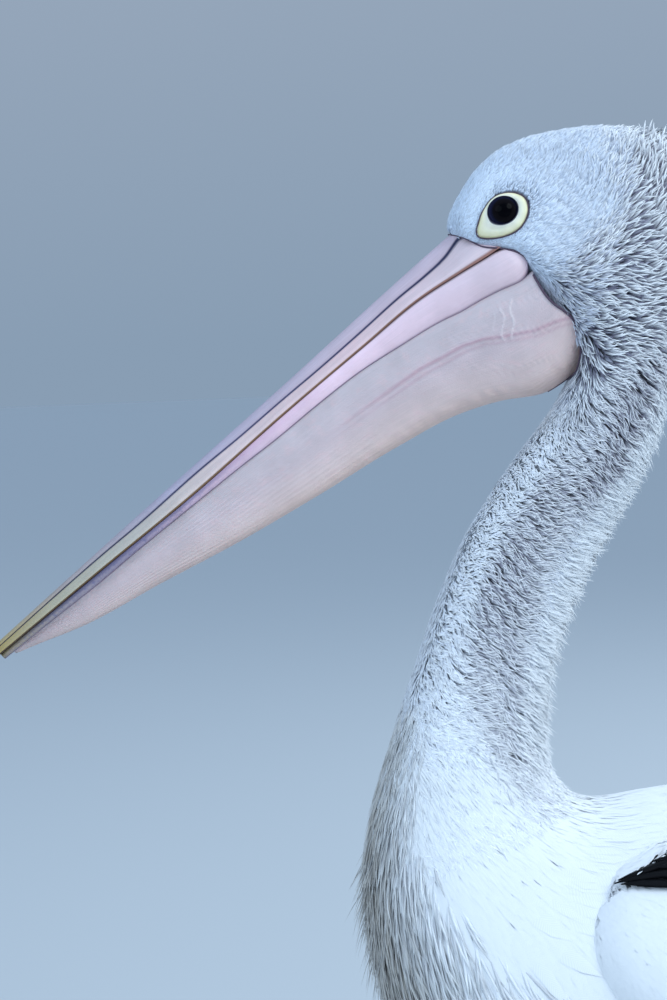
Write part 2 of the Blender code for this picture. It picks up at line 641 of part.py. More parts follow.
def build_legs(body):
    trunk = grown(body["trunk"])
    heel_y, heel_z = HEEL
    foot_y, foot_z = SHANK_FOOT
    for side, word in SIDES:
        foot = build_foot(side, word)
        shares = (0.0, 0.2, 0.45, 0.7, 0.88, 1.0)
        places = [(foot_y + (heel_y - foot_y) * s, 0.006 + (heel_z + 0.010 - 0.006) * s) for s in shares]
        halves = [(0.0095, 0.0120), (0.0072, 0.0095), (0.0066, 0.0090), (0.0070, 0.0096),
                  (0.0096, 0.0125), (0.0080, 0.0100)]
        name = "shank_" + word
        mesh = limb_mesh(name, places, halves, 10)
        if side < 0:
            mesh = mirrored(mesh, name)
        shank = add_object(name, mesh, "leg_grey")
        cut_by(shank, [grown(foot)])
        top_y, top_z = THIGH_TOP
        end_z = heel_z + 0.004
        shares = (0.0, 0.25, 0.5, 0.75, 0.92, 1.0)
        places = [(top_y + (heel_y - top_y) * s, top_z + (end_z - top_z) * s) for s in shares]
        wide, thin = THIGH_HALF
        halves = [(thin + (wide - thin) * (1 - s) ** 1.1, (thin + (wide - thin) * (1 - s) ** 1.1) * 1.25)
                  for s in shares]
        name = "thigh_" + word
        mesh = limb_mesh(name, places, halves, 14)
        if side < 0:
            mesh = mirrored(mesh, name)
        thigh = add_object(name, mesh, "white")
        cut_by(thigh, [trunk, grown(shank)])


def main():
    clear_scene()
    body = build_body()
    build_bill(body, build_eyes(body))
    tail = build_tail(body)
    build_wings(tail)
    build_legs(body)


main()
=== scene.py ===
"""Standing Australian pelican, life size: the skin, feathers, bill, eyes and feet around the solids."""

import math

import bmesh
import bpy
import numpy as np
from mathutils import Matrix, Vector
from mathutils.bvhtree import BVHTree


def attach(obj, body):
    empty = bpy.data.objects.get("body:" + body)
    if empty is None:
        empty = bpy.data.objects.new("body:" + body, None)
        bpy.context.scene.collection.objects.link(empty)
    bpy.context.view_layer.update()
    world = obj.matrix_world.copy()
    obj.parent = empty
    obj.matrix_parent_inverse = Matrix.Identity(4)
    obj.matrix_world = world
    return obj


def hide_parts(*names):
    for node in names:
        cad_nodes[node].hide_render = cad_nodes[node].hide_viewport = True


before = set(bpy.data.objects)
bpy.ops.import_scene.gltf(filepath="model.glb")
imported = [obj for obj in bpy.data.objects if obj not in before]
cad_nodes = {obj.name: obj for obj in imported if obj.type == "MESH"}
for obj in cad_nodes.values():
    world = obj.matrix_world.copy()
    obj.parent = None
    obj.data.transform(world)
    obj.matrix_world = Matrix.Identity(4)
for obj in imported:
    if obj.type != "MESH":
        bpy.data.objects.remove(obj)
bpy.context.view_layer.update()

# ============================================================ skin
# The bird's own skin: one thin hide over head, neck, trunk, thighs and wing arms, without a seam. It lies
# a few millimetres inside the outline of the coat, and takes its shape from the solids that it replaces.

SKIN_CELL = 0.0042              # size of the skin's mesh
SKIN_DEPTH = 0.0032             # how far the skin lies inside the coat's outline
FACE_DEPTH = 0.0010             # the same on the face, where the coat is thinnest
SWELL = 0.0006                  # how far the solids are swollen, so that they join into one hide
WINGS = ("wing_coverts", "scapulars", "secondaries", "primaries")
SIDES = ((False, "left"), (True, "right"))      # whether a piece is mirrored, and its side's name
FLESH = ["head", "neck_upper", "neck_middle", "neck_lower", "trunk", "rump", "thigh_left", "thigh_right"]
FLESH += [f"{word}_{end}" for word in WINGS for _, end in SIDES]

# The coat's outline, from the feather point on the forehead over the bend of the neck to the rump.
# Y and Z of the back line, Y and Z of the front or belly line, half width, the share of the way down where
# it is widest, and the roundness of the lower half.
FORM = np.array((
    (-0.170, 0.826, -0.166, 0.821, 0.004, 0.50, 1.00), (-0.168, 0.836, -0.153, 0.814, 0.018, 0.58, 0.60),
    (-0.161, 0.849, -0.139, 0.811, 0.026, 0.60, 0.55), (-0.149, 0.865, -0.124, 0.806, 0.031, 0.60, 0.55),
    (-0.131, 0.878, -0.113, 0.792, 0.034, 0.58, 0.60), (-0.102, 0.886, -0.102, 0.776, 0.037, 0.55, 0.70),
    (-0.064, 0.888, -0.094, 0.760, 0.039, 0.52, 0.80), (-0.027, 0.877, -0.091, 0.742, 0.040, 0.50, 0.90),
    (-0.008, 0.838, -0.094, 0.728, 0.040, 0.50, 1.00), (-0.010, 0.790, -0.101, 0.716, 0.038, 0.50, 1.00),
    (-0.022, 0.740, -0.110, 0.703, 0.036, 0.50, 1.00), (-0.043, 0.680, -0.121, 0.690, 0.035, 0.50, 1.00),
    (-0.076, 0.625, -0.141, 0.665, 0.035, 0.50, 1.00), (-0.094, 0.592, -0.165, 0.629, 0.036, 0.50, 1.00),
    (-0.110, 0.552, -0.185, 0.587, 0.038, 0.50, 1.00), (-0.115, 0.530, -0.199, 0.550, 0.041, 0.50, 1.00),
    (-0.118, 0.495, -0.216, 0.502, 0.048, 0.50, 1.00), (-0.114, 0.470, -0.233, 0.443, 0.060, 0.52, 1.00),
    (-0.106, 0.459, -0.238, 0.395, 0.074, 0.54, 1.00), (-0.098, 0.454, -0.233, 0.352, 0.088, 0.55, 1.00),
    (-0.088, 0.451, -0.219, 0.312, 0.100, 0.56, 0.95), (-0.074, 0.451, -0.197, 0.271, 0.109, 0.56, 0.92),
    (-0.050, 0.455, -0.160, 0.226, 0.116, 0.55, 0.90), (-0.015, 0.458, -0.110, 0.186, 0.120, 0.54, 0.88),
    (0.028, 0.456, -0.046, 0.156, 0.122, 0.52, 0.86), (0.085, 0.443, 0.030, 0.141, 0.120, 0.50, 0.86),
    (0.150, 0.415, 0.112, 0.145, 0.112, 0.48, 0.88), (0.216, 0.377, 0.192, 0.168, 0.098, 0.47, 0.90),
    (0.280, 0.335, 0.264, 0.201, 0.078, 0.46, 0.95), (0.335, 0.297, 0.326, 0.221, 0.056, 0.46, 1.00),
    (0.378, 0.268, 0.372, 0.228, 0.040, 0.48, 1.00),
))
FORM_END = len(FORM) - 1


def rows_about(table, row):
    """The four rows of a table about any row between two of them, and the share of the way between those."""
    row = np.clip(row, 0, len(table) - 1 - 1e-6)
    i = np.floor(row).astype(int)
    padded = np.concatenate([2 * table[:1] - table[1:2], table, 2 * table[-1:] - table[-2:-1]])
    return [padded[i + k] for k in range(4)], (row - i)[..., None]


def curve(knots, t):
    """A smooth curve through four knots, at the share t of the way from the second to the third."""
    a, b, c, d = knots
    return 0.5 * (2 * b + (c - a) * t + (2 * a - 5 * b + 4 * c - d) * t**2 + (3 * b - a - 3 * c + d) * t**3)


def body_at(row, turn):
    """Points on the coat's outline: row counts rows of FORM, turn is the angle from the back line."""
    cut = curve(*rows_about(FORM, row))
    down, out = -np.cos(turn), np.sin(turn)
    upper = (down < 0)[..., None]
    roundness = np.where(upper[..., 0], 1.0, cut[..., 6])
    middle = cut[..., 0:2] + (cut[..., 2:4] - cut[..., 0:2]) * cut[..., 5:6]
    end = np.where(upper, cut[..., 0:2], cut[..., 2:4])
    place = middle + (end - middle) * (np.abs(down) ** roundness)[..., None]
    across = cut[..., 4] * np.sign(out) * np.abs(out) ** roundness
    return np.stack([across, place[..., 0], place[..., 1]], -1)


def soft_step(x, low, high):
    """0 below low, 1 above high, and smooth between."""
    t = np.clip((np.asarray(x, float) - low) / (high - low), 0, 1)
    return t * t * (3 - 2 * t)


def off_back(turn):
    """How many degrees a turn lies from the back line, on either side."""
    return np.degrees(np.abs(turn))


# The edge of the black on the shoulder under the scapulars, as Y and the Z of its top and low edge.
BLACK_YS = (-0.074, -0.066, -0.05, -0.03, 0.0, 0.05, 0.12, 0.121)
BLACK_TOP = (0.4190, 0.4225, 0.4315, 0.437, 0.435, 0.428, 0.4135, 0.6)
BLACK_LOW = (0.4188, 0.4160, 0.4140, 0.4085, 0.398, 0.379, 0.357, 0.7)

# The grey of the nape and neck. On the head it starts at a row that depends on the turn from the back line,
# and down the neck it lies between a white front and a white back, by row, and fades to a point.
GREY_TURNS = (0, 60, 72, 80, 88, 94, 110, 128, 180)
GREY_STARTS = (6.1, 6.0, 6.1, 6.2, 5.8, 5.3, 4.6, 4.1, 4.2)
GREY_ROWS = (8.0, 8.8, 10.2, 10.8, 11.3, 11.9, 12.6, 13.4, 14.3, 15.3, 16.1, 17.3, 18.2)
GREY_FRONT = (168, 148, 144, 140, 136, 135, 135, 134, 130, 118, 88, 56, 48)
GREY_BEHIND = (-60, -60, 10, 44, 48, 70, 75, 73, 66, 48, 40, 30, 30)
GREY_SOFT = (17, 17, 17, 14, 14, 34, 28, 20, 25, 20, 16, 16, 16)
GREY_AMOUNT = (1.0, 1.0, 1.0, 1.0, 1.0, 0.80, 0.80, 0.86, 0.74, 0.58, 0.72, 0.40, 0.0)
GREY_AHEAD = (1.0, 0.9, 0.6, 0.48, 0.58, 1.0, 1.0, 1.0, 1.0, 1.0, 1.0, 1.0, 1.0)


def neck_grey(row, turn):
    """How grey the coat is: all over the nape, then a woolly band down each side of the neck to a point."""
    angle = off_back(turn)
    start = np.interp(angle, GREY_TURNS, GREY_STARTS)
    soft = np.interp(angle, (0, 70, 92, 180), (1.7, 1.1, 0.35, 0.5))
    tables = (GREY_FRONT, GREY_BEHIND, GREY_SOFT, GREY_AMOUNT, GREY_AHEAD)
    front, behind, blur, amount, ahead = (np.interp(row, GREY_ROWS, table) for table in tables)
    grey = soft_step(row, start - soft, start + 0.9) * (1 - soft_step(angle, front - 17, front + 7))
    amount = amount * (1 - (1 - ahead) * soft_step(angle, 84, 106))
    return amount * grey * soft_step(angle, behind - blur, behind + blur)


def node_tree(nodes):
    """A search tree over the faces of some of the solids."""
    made = bmesh.new()
    for node in nodes:
        made.from_mesh(cad_nodes[node].data)
    found = BVHTree.FromBMesh(made)
    made.free()
    return found


def new_mesh_object(name, mesh):
    made = bpy.data.objects.new(name, mesh)
    bpy.context.scene.collection.objects.link(made)
    return made


def give(mesh, name, values, kind="FLOAT"):
    """Stores one value, or one colour, for each point of a mesh."""
    layer = mesh.attributes.new(name, kind, "POINT")
    layer.data.foreach_set("value" if kind == "FLOAT" else "color", np.asarray(values, np.float32).ravel())


def principled(name, roughness, sheen=0.0, coat=0.0, specular=0.5, subsurface=0.0, reach=None):
    """A material with its Principled shader, and the pieces to wire it with. reach is how far light travels
    under the surface, for red, green and blue."""
    made = bpy.data.materials.new(name)
    made.use_nodes = True
    tree = made.node_tree
    shader = tree.nodes["Principled BSDF"]
    shader.inputs["Roughness"].default_value = roughness
    shader.inputs["Specular IOR Level"].default_value = specular
    shader.inputs["Sheen Weight"].default_value = sheen
    shader.inputs["Coat Weight"].default_value = coat
    shader.inputs["Coat Roughness"].default_value = 0.08
    shader.inputs["Subsurface Weight"].default_value = subsurface
    if reach:
        shader.inputs["Subsurface Radius"].default_value = reach
    return made, tree, shader


def add_node(tree, kind, links=(), **settings):
    """A shader node with its settings made; links are (input, value or socket) pairs."""
    made = tree.nodes.new("ShaderNode" + kind)
    for key, value in settings.items():
        setattr(made, key, value)
    for place, value in links:
        if isinstance(value, bpy.types.NodeSocket):
            tree.links.new(value, made.inputs[place])
        else:
            made.inputs[place].default_value = value
    return made


def math_node(tree, operation, *values):
    """The result of one sum on values or sockets."""
    return add_node(tree, "Math", enumerate(values), operation=operation).outputs[0]


def times(tree, first, second):
    return math_node(tree, "MULTIPLY", first, second)


def mix_colours(tree, share, first, second):
    """A colour mix; share, first and second are values or sockets."""
    mix = add_node(tree, "Mix", [(0, share), (6, first), (7, second)], data_type="RGBA")
    return mix.outputs[2]


def rgba(*colour):
    return (*colour, 1.0)


def add_bump(tree, shader, height, distance, strength=1.0):
    """Height into a Bump node into the shader's normal."""
    bump = add_node(tree, "Bump", [("Height", height), ("Distance", distance), ("Strength", strength)])
    tree.links.new(bump.outputs["Normal"], shader.inputs["Normal"])


WHITE_DOWN = rgba(0.80, 0.82, 0.86)
GREY_DOWN = rgba(0.085, 0.08, 0.10)
BLACK_DOWN = rgba(0.012, 0.012, 0.015)

joined = bmesh.new()
for node in FLESH:
    joined.from_mesh(cad_nodes[node].data)
bmesh.ops.remove_doubles(joined, verts=joined.verts, dist=1e-6)
joined.normal_update()
for vert in joined.verts:
    vert.co += vert.normal * SWELL
rough = bpy.data.meshes.new("skin")
joined.to_mesh(rough)
joined.free()
skin = new_mesh_object("skin", rough)
remesh = skin.modifiers.new("one_hide", "REMESH")
remesh.mode = "VOXEL"
remesh.voxel_size = SKIN_CELL
smooth = skin.modifiers.new("soften", "SMOOTH")
smooth.factor = 0.5
smooth.iterations = 6
hide = bpy.data.meshes.new_from_object(skin.evaluated_get(bpy.context.evaluated_depsgraph_get()))
skin.modifiers.clear()
skin.data = hide
count = len(hide.vertices)
points, normals = np.empty(count * 3), np.empty(count * 3)
hide.vertices.foreach_get("co", points)
hide.vertex_normals.foreach_get("vector", normals)
points, normals = points.reshape(-1, 3), normals.reshape(-1, 3)
face = 1 - soft_step(points[:, 1], -0.125, -0.085)
face *= soft_step(points[:, 2], 0.70, 0.76)
points -= normals * (SKIN_DEPTH + (FACE_DEPTH - SKIN_DEPTH) * face + SWELL)[:, None]
hide.vertices.foreach_set("co", points.ravel())

# The markings lie on the hide as on the coat: black where the dark wing solids are nearest, grey on the neck.
trees = [node_tree([f"{word}_{end}" for word in words for _, end in SIDES])
         for words in (("scapulars", "secondaries", "primaries"), ("wing_coverts",))]
trees.append(node_tree(FLESH[:8]))
nearest = np.array([[tree.find_nearest(Vector(p))[3] for tree in trees] for p in points])
on_dark_wing = nearest.argmin(1) == 0
rows, turns = np.meshgrid(np.linspace(0, FORM_END, 260), np.linspace(-math.pi, math.pi, 96), indexing="ij")
table = body_at(rows, turns).reshape(-1, 3)
greys = neck_grey(rows, turns).ravel()
grey = np.zeros(count)
neck = np.flatnonzero((points[:, 2] > 0.44) & (points[:, 1] < 0.02))
for chunk in np.array_split(neck, 24):
    away = ((points[chunk, None] - table[None, ::3]) ** 2).sum(-1)
    grey[chunk] = greys[::3][away.argmin(1)]
width_at, length_at, height_at = points.T
high = np.interp(length_at, BLACK_YS, BLACK_TOP)
low = np.where(on_dark_wing, 0.02 * (length_at < -0.03), np.interp(length_at, BLACK_YS, BLACK_LOW))
low = np.maximum(low, np.interp(length_at, (-0.032, -0.028), (0.4075, 0.0)))
black = (length_at > -0.079) & (height_at < high) & (height_at > low) & (np.abs(width_at) > 0.05)
black |= on_dark_wing & (length_at > 0.12)
tone = np.stack([black, grey, np.zeros(count), np.ones(count)], -1)
give(hide, "marking", tone, "FLOAT_COLOR")
hide.shade_smooth()

skin_material, tree, shader = principled("down_on_skin", 0.85, sheen=0.3)
marking = add_node(tree, "Attribute", attribute_name="marking")
split = add_node(tree, "SeparateColor", [(0, marking.outputs["Color"])])
colour = mix_colours(tree, split.outputs["Green"], WHITE_DOWN, GREY_DOWN)
colour = mix_colours(tree, split.outputs["Red"], colour, BLACK_DOWN)
place = add_node(tree, "TexCoord")
fluff = add_node(tree, "TexNoise", [("Vector", place.outputs["Object"]), ("Scale", 900.0)])
shade = add_node(tree, "MapRange", [(0, fluff.outputs["Fac"]), (3, 0.75), (4, 1.1)])
tinted = add_node(tree, "VectorMath", [(0, colour), (1, shade.outputs[0])], operation="MULTIPLY")
tree.links.new(tinted.outputs[0], shader.inputs["Base Color"])
add_bump(tree, shader, fluff.outputs["Fac"], 0.0015, 0.8)
skin.data.materials.clear()
skin.data.materials.append(skin_material)
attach(skin, "root")
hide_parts(*FLESH)

# ============================================================ coat of the head and neck
# Head feathers are hair-fine and lie flat from the bill backwards. On the nape they stand in a ruffled
# crest. Down the neck they are short, woolly tufts, grey with white tips on the sides.

rng = np.random.default_rng(11)
PATCH = 0.003                   # the size of one feather's patch on the unwrap of the skin
SCATTER_CELLS = 160             # steps each way in which the ground under the feathers is measured
# Two shares whose multiples never bunch together, for an even spread.
EVEN_FIRST = 0.7548776662466927
EVEN_SECOND = 0.5698402909980532


def unit_of(vectors):
    """The same directions, each of length 1."""
    return vectors / (np.linalg.norm(vectors, axis=-1, keepdims=True) + 1e-12)


def across_only(vectors, normals):
    """What is left of vectors beside their part along the normals, as directions of length 1."""
    return unit_of(vectors - (vectors * normals).sum(-1, keepdims=True) * normals)


def lie_of(surface, a, b):
    """A surface's points, outward normals and its two directions at the places (a, b)."""
    e = 1e-3
    along = (surface(a + e, b) - surface(a - e, b)) / (2 * e)
    round_it = (surface(a, b + e) - surface(a, b - e)) / (2 * e)
    return surface(a, b), unit_of(np.cross(round_it, along)), along, round_it


def scatter(surface, a_range, b_range, count, weight=None):
    """Places spread evenly over part of a surface, or by a weight that is given."""
    cells = np.arange(SCATTER_CELLS)
    a = np.linspace(*a_range, SCATTER_CELLS)
    b = np.linspace(*b_range, SCATTER_CELLS)
    aa, bb = np.meshgrid(a, b, indexing="ij")
    _, _, along, round_it = lie_of(surface, aa, bb)
    area = np.linalg.norm(np.cross(along, round_it), axis=-1)
    if weight is not None:
        area = area * weight(aa, bb)
    by_a = np.cumsum(area.sum(1))
    by_b = np.cumsum(area, axis=1)
    step = np.arange(1, count + 1)
    first = (0.5 + step * EVEN_FIRST) % 1
    second = (0.5 + step * EVEN_SECOND) % 1
    row = np.interp(first, by_a / by_a[-1], cells)
    i = np.round(row).astype(int)
    share = by_b[i] / by_b[i, -1:]
    column = np.array([np.interp(x, s, cells) for x, s in zip(second, share)])
    return np.interp(row, cells, a), np.interp(column, cells, b)


def walk(surface, a, b, heading, length, shares):
    """Lines that set out over a surface: their points, normals and sideways directions."""
    points, normals, sideways = [], [], []
    last = 0.0
    for share in shares:
        place, normal, along, round_it = lie_of(surface, a, b)
        way = across_only(heading(place, normal, along, share), normal)
        if share > last:
            pairs = ((along, along), (round_it, round_it), (along, round_it), (way, along), (way, round_it))
            aa, bb, ab, ra, rb = ((u * v).sum(-1) for u, v in pairs)
            area = np.maximum(aa * bb - ab * ab, 1e-10)
            step = (share - last) * length
            a = a + step * (ra * bb - rb * ab) / area
            b = b + step * (rb * aa - ra * ab) / area
            last = share
            place, normal, _, _ = lie_of(surface, a, b)
        points.append(place)
        normals.append(normal)
        sideways.append(np.cross(way, normal))
    return tuple(np.stack(x, 1) for x in (points, normals, sideways))


def turned(way, normal, angle):
    """Directions turned about the normal by an angle for each."""
    angle = angle[:, None]
    return way * np.cos(angle) + np.cross(normal, way) * np.sin(angle)


def build_vanes(name, coords, faces, along, across, unwrap, tone, material, lie_normal=None, soft=0.0,
                under=()):
    """One mesh of many like closed pieces: coords is (pieces, points, 3), faces those of one piece. soft is
    how far their shading follows lie_normal, the body's own surface under each piece; under lists the faces
    on their lower side."""
    total, per = coords.shape[:2]
    sizes = np.array([len(face) for face in faces])
    corners = np.concatenate(faces)
    loops = (corners[None] + per * np.arange(total)[:, None]).ravel()
    mesh = bpy.data.meshes.new(name)
    mesh.vertices.add(total * per)
    mesh.vertices.foreach_set("co", coords.astype(np.float32).ravel())
    mesh.loops.add(len(loops))
    mesh.loops.foreach_set("vertex_index", loops.astype(np.int32))
    mesh.polygons.add(total * len(faces))
    starts = np.concatenate([[0], np.cumsum(np.tile(sizes, total))[:-1]])
    mesh.polygons.foreach_set("loop_start", starts.astype(np.int32))
    mesh.update(calc_edges=True)
    mesh.shade_smooth()
    lie = np.empty((total, per, 4))
    lie[..., 0], lie[..., 1] = along, across
    lie[..., 2], lie[..., 3] = tone[:, None], rng.random(total)[:, None]
    give(mesh, "lie", lie, "FLOAT_COLOR")
    patch = unwrap[:, None] + PATCH * (np.stack([across, along], -1)[None] - 0.5)
    layer = mesh.uv_layers.new(name="OFBake")
    layer.data.foreach_set("uv", np.clip(patch, 0, 1).reshape(-1, 2)[loops].astype(np.float32).ravel())
    if lie_normal is not None:
        soft = np.broadcast_to(soft, total)[:, None, None]
        own = np.empty(total * per * 3, np.float32)
        mesh.vertex_normals.foreach_get("vector", own)
        mixed = own.reshape(total, per, 3) * (1 - soft) + lie_normal * soft
        mixed /= np.linalg.norm(mixed, axis=-1, keepdims=True) + 1e-9
        corner = mixed.reshape(-1, 3)[loops]
        below = np.isin(np.arange(len(faces)), under)
        corner[np.tile(np.repeat(below, sizes), total)] *= -1
        mesh.normals_split_custom_set(corner)
    mesh.materials.append(material)
    made = new_mesh_object(name, mesh)
    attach(made, "root")


def vanes(name, line, height, half, rib, unwrap, tone, material, mirror, soft, push):
    """Small closed feathers, three-sided in section. line is from walk; the sizes are (vanes, rows). push
    turns their shading towards the side where they fill a hollow."""
    points, normals, sideways = line
    total, rows = points.shape[:2]
    sideways = across_only(sideways, normals[:, 1:2])
    middle = points + normals * height[..., None]
    left, right = middle - sideways * half[..., None], middle + sideways * half[..., None]
    ridge = middle + normals * rib[..., None]
    body = np.stack([left, ridge, right], 2)[:, :-1].reshape(total, -1, 3)
    coords = np.concatenate([body, middle[:, -1:]], 1)
    faces, tip = [], 3 * (rows - 1)
    for k in range(rows - 2):
        lower, upper = 3 * k, 3 * k + 3
        for i, j in ((0, 1), (1, 2), (2, 0)):
            faces.append((lower + i, lower + j, upper + j, upper + i))
    under = [*range(2, 3 * rows - 6, 3), 3 * rows - 4, 3 * rows - 3]
    last = 3 * (rows - 2)
    faces += [(last, last + 1, tip), (last + 1, last + 2, tip), (last + 2, last, tip), (0, 2, 1)]
    lie_normal = np.concatenate([np.repeat(normals[:, :-1], 3, 1), normals[:, -1:]], 1)
    lie_normal[..., 0] += np.broadcast_to(push, total)[:, None] * np.sign(points[:, :1, 0])
    lie_normal /= np.linalg.norm(lie_normal, axis=-1, keepdims=True)
    if mirror:
        coords, lie_normal = coords * (-1, 1, 1), lie_normal * (-1, 1, 1)
        faces = [face[::-1] for face in faces]
    share = np.linspace(0, 1, rows)
    along = np.append(np.repeat(share[:-1], 3), 1.0)
    across = np.append(np.tile((0.0, 0.5, 1.0), rows - 1), 0.5)
    build_vanes(name, coords, faces, along, across, unwrap, tone, material, lie_normal, soft, under)


def body_unwrap(row, turn):
    """A place on the unwrap of the skin: its length by its girth."""
    return np.stack([0.02 + 0.96 * row / FORM_END, 0.5 + 0.48 * turn / math.pi], -1)


def new_group(name, inputs):
    """A shader group with named inputs, each a colour or a number, that puts out a colour and a height."""
    made = bpy.data.node_groups.new(name, "ShaderNodeTree")
    for socket, value in inputs:
        kind = "NodeSocketColor" if isinstance(value, tuple) else "NodeSocketFloat"
        made.interface.new_socket(socket, in_out="INPUT", socket_type=kind).default_value = value
    for socket, kind in (("Colour", "NodeSocketColor"), ("Height", "NodeSocketFloat")):
        made.interface.new_socket(socket, in_out="OUTPUT", socket_type=kind)
    return made, made.nodes.new("NodeGroupInput").outputs, made.nodes.new("NodeGroupOutput").inputs


# Shader group for every feather: a colour that runs from root to tip, fine slanting barbs on both sides of
# the shaft, and a height for the bump. Tone mixes in the second pair of colours.
feather, given, leave = new_group("feather_vane", (
    ("Root Colour", rgba(0.6, 0.6, 0.6)), ("Tip Colour", rgba(0.9, 0.9, 0.9)),
    ("Toned Root", rgba(0.2, 0.2, 0.2)), ("Toned Tip", rgba(0.7, 0.7, 0.7)), ("Tip Starts", 0.2),
    ("Barbs", 30.0), ("Variation", 0.1),
))
lie = add_node(feather, "Attribute", attribute_name="lie")
parts = add_node(feather, "SeparateColor", [(0, lie.outputs["Color"])]).outputs
along, across, tone, lot = parts[0], parts[1], parts[2], lie.outputs["Alpha"]
side = math_node(feather, "ABSOLUTE", math_node(feather, "SUBTRACT", across, 0.5))
slant = math_node(feather, "ADD", along, times(feather, side, -0.22))
barb = times(feather, times(feather, slant, given["Barbs"]), 6.283)
barb = math_node(feather, "MULTIPLY_ADD", math_node(feather, "SINE", barb), 0.5, 0.5)
fade = add_node(feather, "MapRange", [(0, along), (1, given["Tip Starts"]), (2, 0.92)],
                interpolation_type="SMOOTHSTEP").outputs[0]
plain = mix_colours(feather, fade, given["Root Colour"], given["Tip Colour"])
toned = mix_colours(feather, fade, given["Toned Root"], given["Toned Tip"])
both = mix_colours(feather, tone, plain, toned)
vary = times(feather, math_node(feather, "SUBTRACT", lot, 0.5), given["Variation"])
vary = math_node(feather, "ADD", math_node(feather, "MULTIPLY_ADD", barb, 0.06, 0.95), vary)
final = add_node(feather, "VectorMath", [(0, both), (1, vary)], operation="MULTIPLY")
feather.links.new(final.outputs[0], leave["Colour"])
feather.links.new(barb, leave["Height"])


def feather_material(name, root, tip, toned_root=None, toned_tip=None, starts=0.1, barbs=24.0, vary=0.1,
                     roughness=0.7, sheen=0.25, bump=0.0001, specular=0.3):
    """A feather's material: the group's colour and height into its own shader."""
    made, tree, shader = principled(name, roughness, sheen=sheen, specular=specular)
    values = (("Root Colour", rgba(*root)), ("Tip Colour", rgba(*tip)),
              ("Toned Root", rgba(*(toned_root or root))), ("Toned Tip", rgba(*(toned_tip or tip))),
              ("Tip Starts", starts), ("Barbs", barbs), ("Variation", vary))
    vane = add_node(tree, "Group", values, node_tree=feather)
    tree.links.new(vane.outputs["Colour"], shader.inputs["Base Color"])
    add_bump(tree, shader, vane.outputs["Height"], bump, 0.6)
    return made


SNOW = (0.86, 0.88, 0.91)
# The head's white hairs take a darker blue-grey than the body's white feathers: painted shade for the shade
# that lies over the head.
fine_feather = feather_material("fine_head_feather", (0.52, 0.60, 0.76), (0.72, 0.80, 0.92),
    (0.07, 0.07, 0.11), (0.66, 0.69, 0.80), starts=0.12, barbs=6, vary=0.42)
# The toned roots of the nape and neck feathers, and the nape's under down, are near black: the feathers' real
# grey, deepened into painted shade for the gaps between the tufts.
nape_down_with_shade = feather_material("nape_down_painted_shade", (0.55, 0.59, 0.70), (0.78, 0.82, 0.90), (0.028, 0.026, 0.045),
                             (0.20, 0.19, 0.27), starts=0.15, barbs=6, vary=0.5)
nape_feather = feather_material("ruffled_nape_feather", (0.66, 0.70, 0.80), SNOW, (0.07, 0.065, 0.10),
                                (0.90, 0.92, 0.97), starts=0.22, barbs=7, vary=0.25)
grey_down = feather_material("grey_neck_down", (0.70, 0.74, 0.83), (0.84, 0.87, 0.94), (0.075, 0.07, 0.10),
                             (0.34, 0.33, 0.41), starts=0.2, barbs=8, vary=0.4)
wool_feather = feather_material("woolly_neck_feather", (0.84, 0.87, 0.92), (0.93, 0.95, 0.98),
                                (0.15, 0.145, 0.19), (0.86, 0.87, 0.93), starts=0.15, barbs=8, vary=0.25)

EYE = np.array((0.0, -0.1349, 0.8363))
# The bare ring's outline about the middle of the eye: how far out it reaches, by the angle.
RING_TURNS = np.radians((0, 20, 36, 51, 71, 90, 112, 138, 163, 183, 204, 215, 223, 232, 248, 270, 291, 312,
    334, 360))
RING_OUT = np.array((15.4, 15.6, 15.0, 13.7, 12.2, 11.2, 10.8, 10.8, 11.8, 14.0, 18.0, 21.6, 22.8, 21.4,
    18.6, 16.3, 15.4, 15.1, 14.9, 15.4)) / 1000

# The border of the feathers on the face and throat, as Y and Z of points from the forehead down. All that
# lies in front of it, towards the bill's tip, is bare.
FACE_LINE = np.array((
    (-0.169, 0.824), (-0.163, 0.822), (-0.155, 0.818), (-0.150, 0.815), (-0.136, 0.8125), (-0.127, 0.810),
    (-0.1215, 0.806), (-0.1185, 0.800), (-0.1170, 0.794), (-0.1150, 0.790), (-0.1110, 0.783),
    (-0.1060, 0.777), (-0.0980, 0.771), (-0.0930, 0.766), (-0.0900, 0.756), (-0.0880, 0.746),
    (-0.0890, 0.739), (-0.0920, 0.731), (-0.1000, 0.725), (-0.1080, 0.720),
))


BILL_DROP = math.radians(40.2)  # how far the bill points down


def bare_side(y, z):
    """How far places lie in front of the feathers' border: more than 0 on bare skin and horn."""
    level, fall = math.cos(BILL_DROP), math.sin(BILL_DROP)
    line_on, line_up = -FACE_LINE @ (level, fall), FACE_LINE @ (-fall, level)
    on, up = -(y * level + z * fall), -y * fall + z * level
    found = on - np.interp(-up, -line_up, line_on)
    return np.where((up > line_up[0] + 0.0006) | (up < line_up[-1]), -1.0, found)


def ring_out(turn):
    """How far the bare ring reaches from the middle of the eye, by the angle up from the rear."""
    return np.interp(np.mod(turn, 2 * math.pi), RING_TURNS, RING_OUT)


def eye_clear(place):
    """How far places lie outside the bare rings of the eyes."""
    rise, back = place[:, 2] - EYE[2], place[:, 1] - EYE[1]
    clear = np.hypot(rise, back) - ring_out(np.arctan2(rise, back))
    return np.where(np.abs(place[:, 0]) < 0.012, 1.0, clear)


def off_bare_parts(row, turn):
    """Keeps the places that lie behind the feathers' border and outside the rings of the eyes."""
    place = body_at(row, turn)
    return (eye_clear(place) > 0.0003) & (bare_side(place[:, 1], place[:, 2]) < 0.0006)


# The outlines of one tuft: the shares of its length at which it is cut, and its width at each.
HAIR = ((0.0, 0.5, 1.0), (0.7, 1.0, 0.0))
WISP = ((0.0, 0.34, 0.7, 1.0), (0.6, 1.0, 0.7, 0.0))


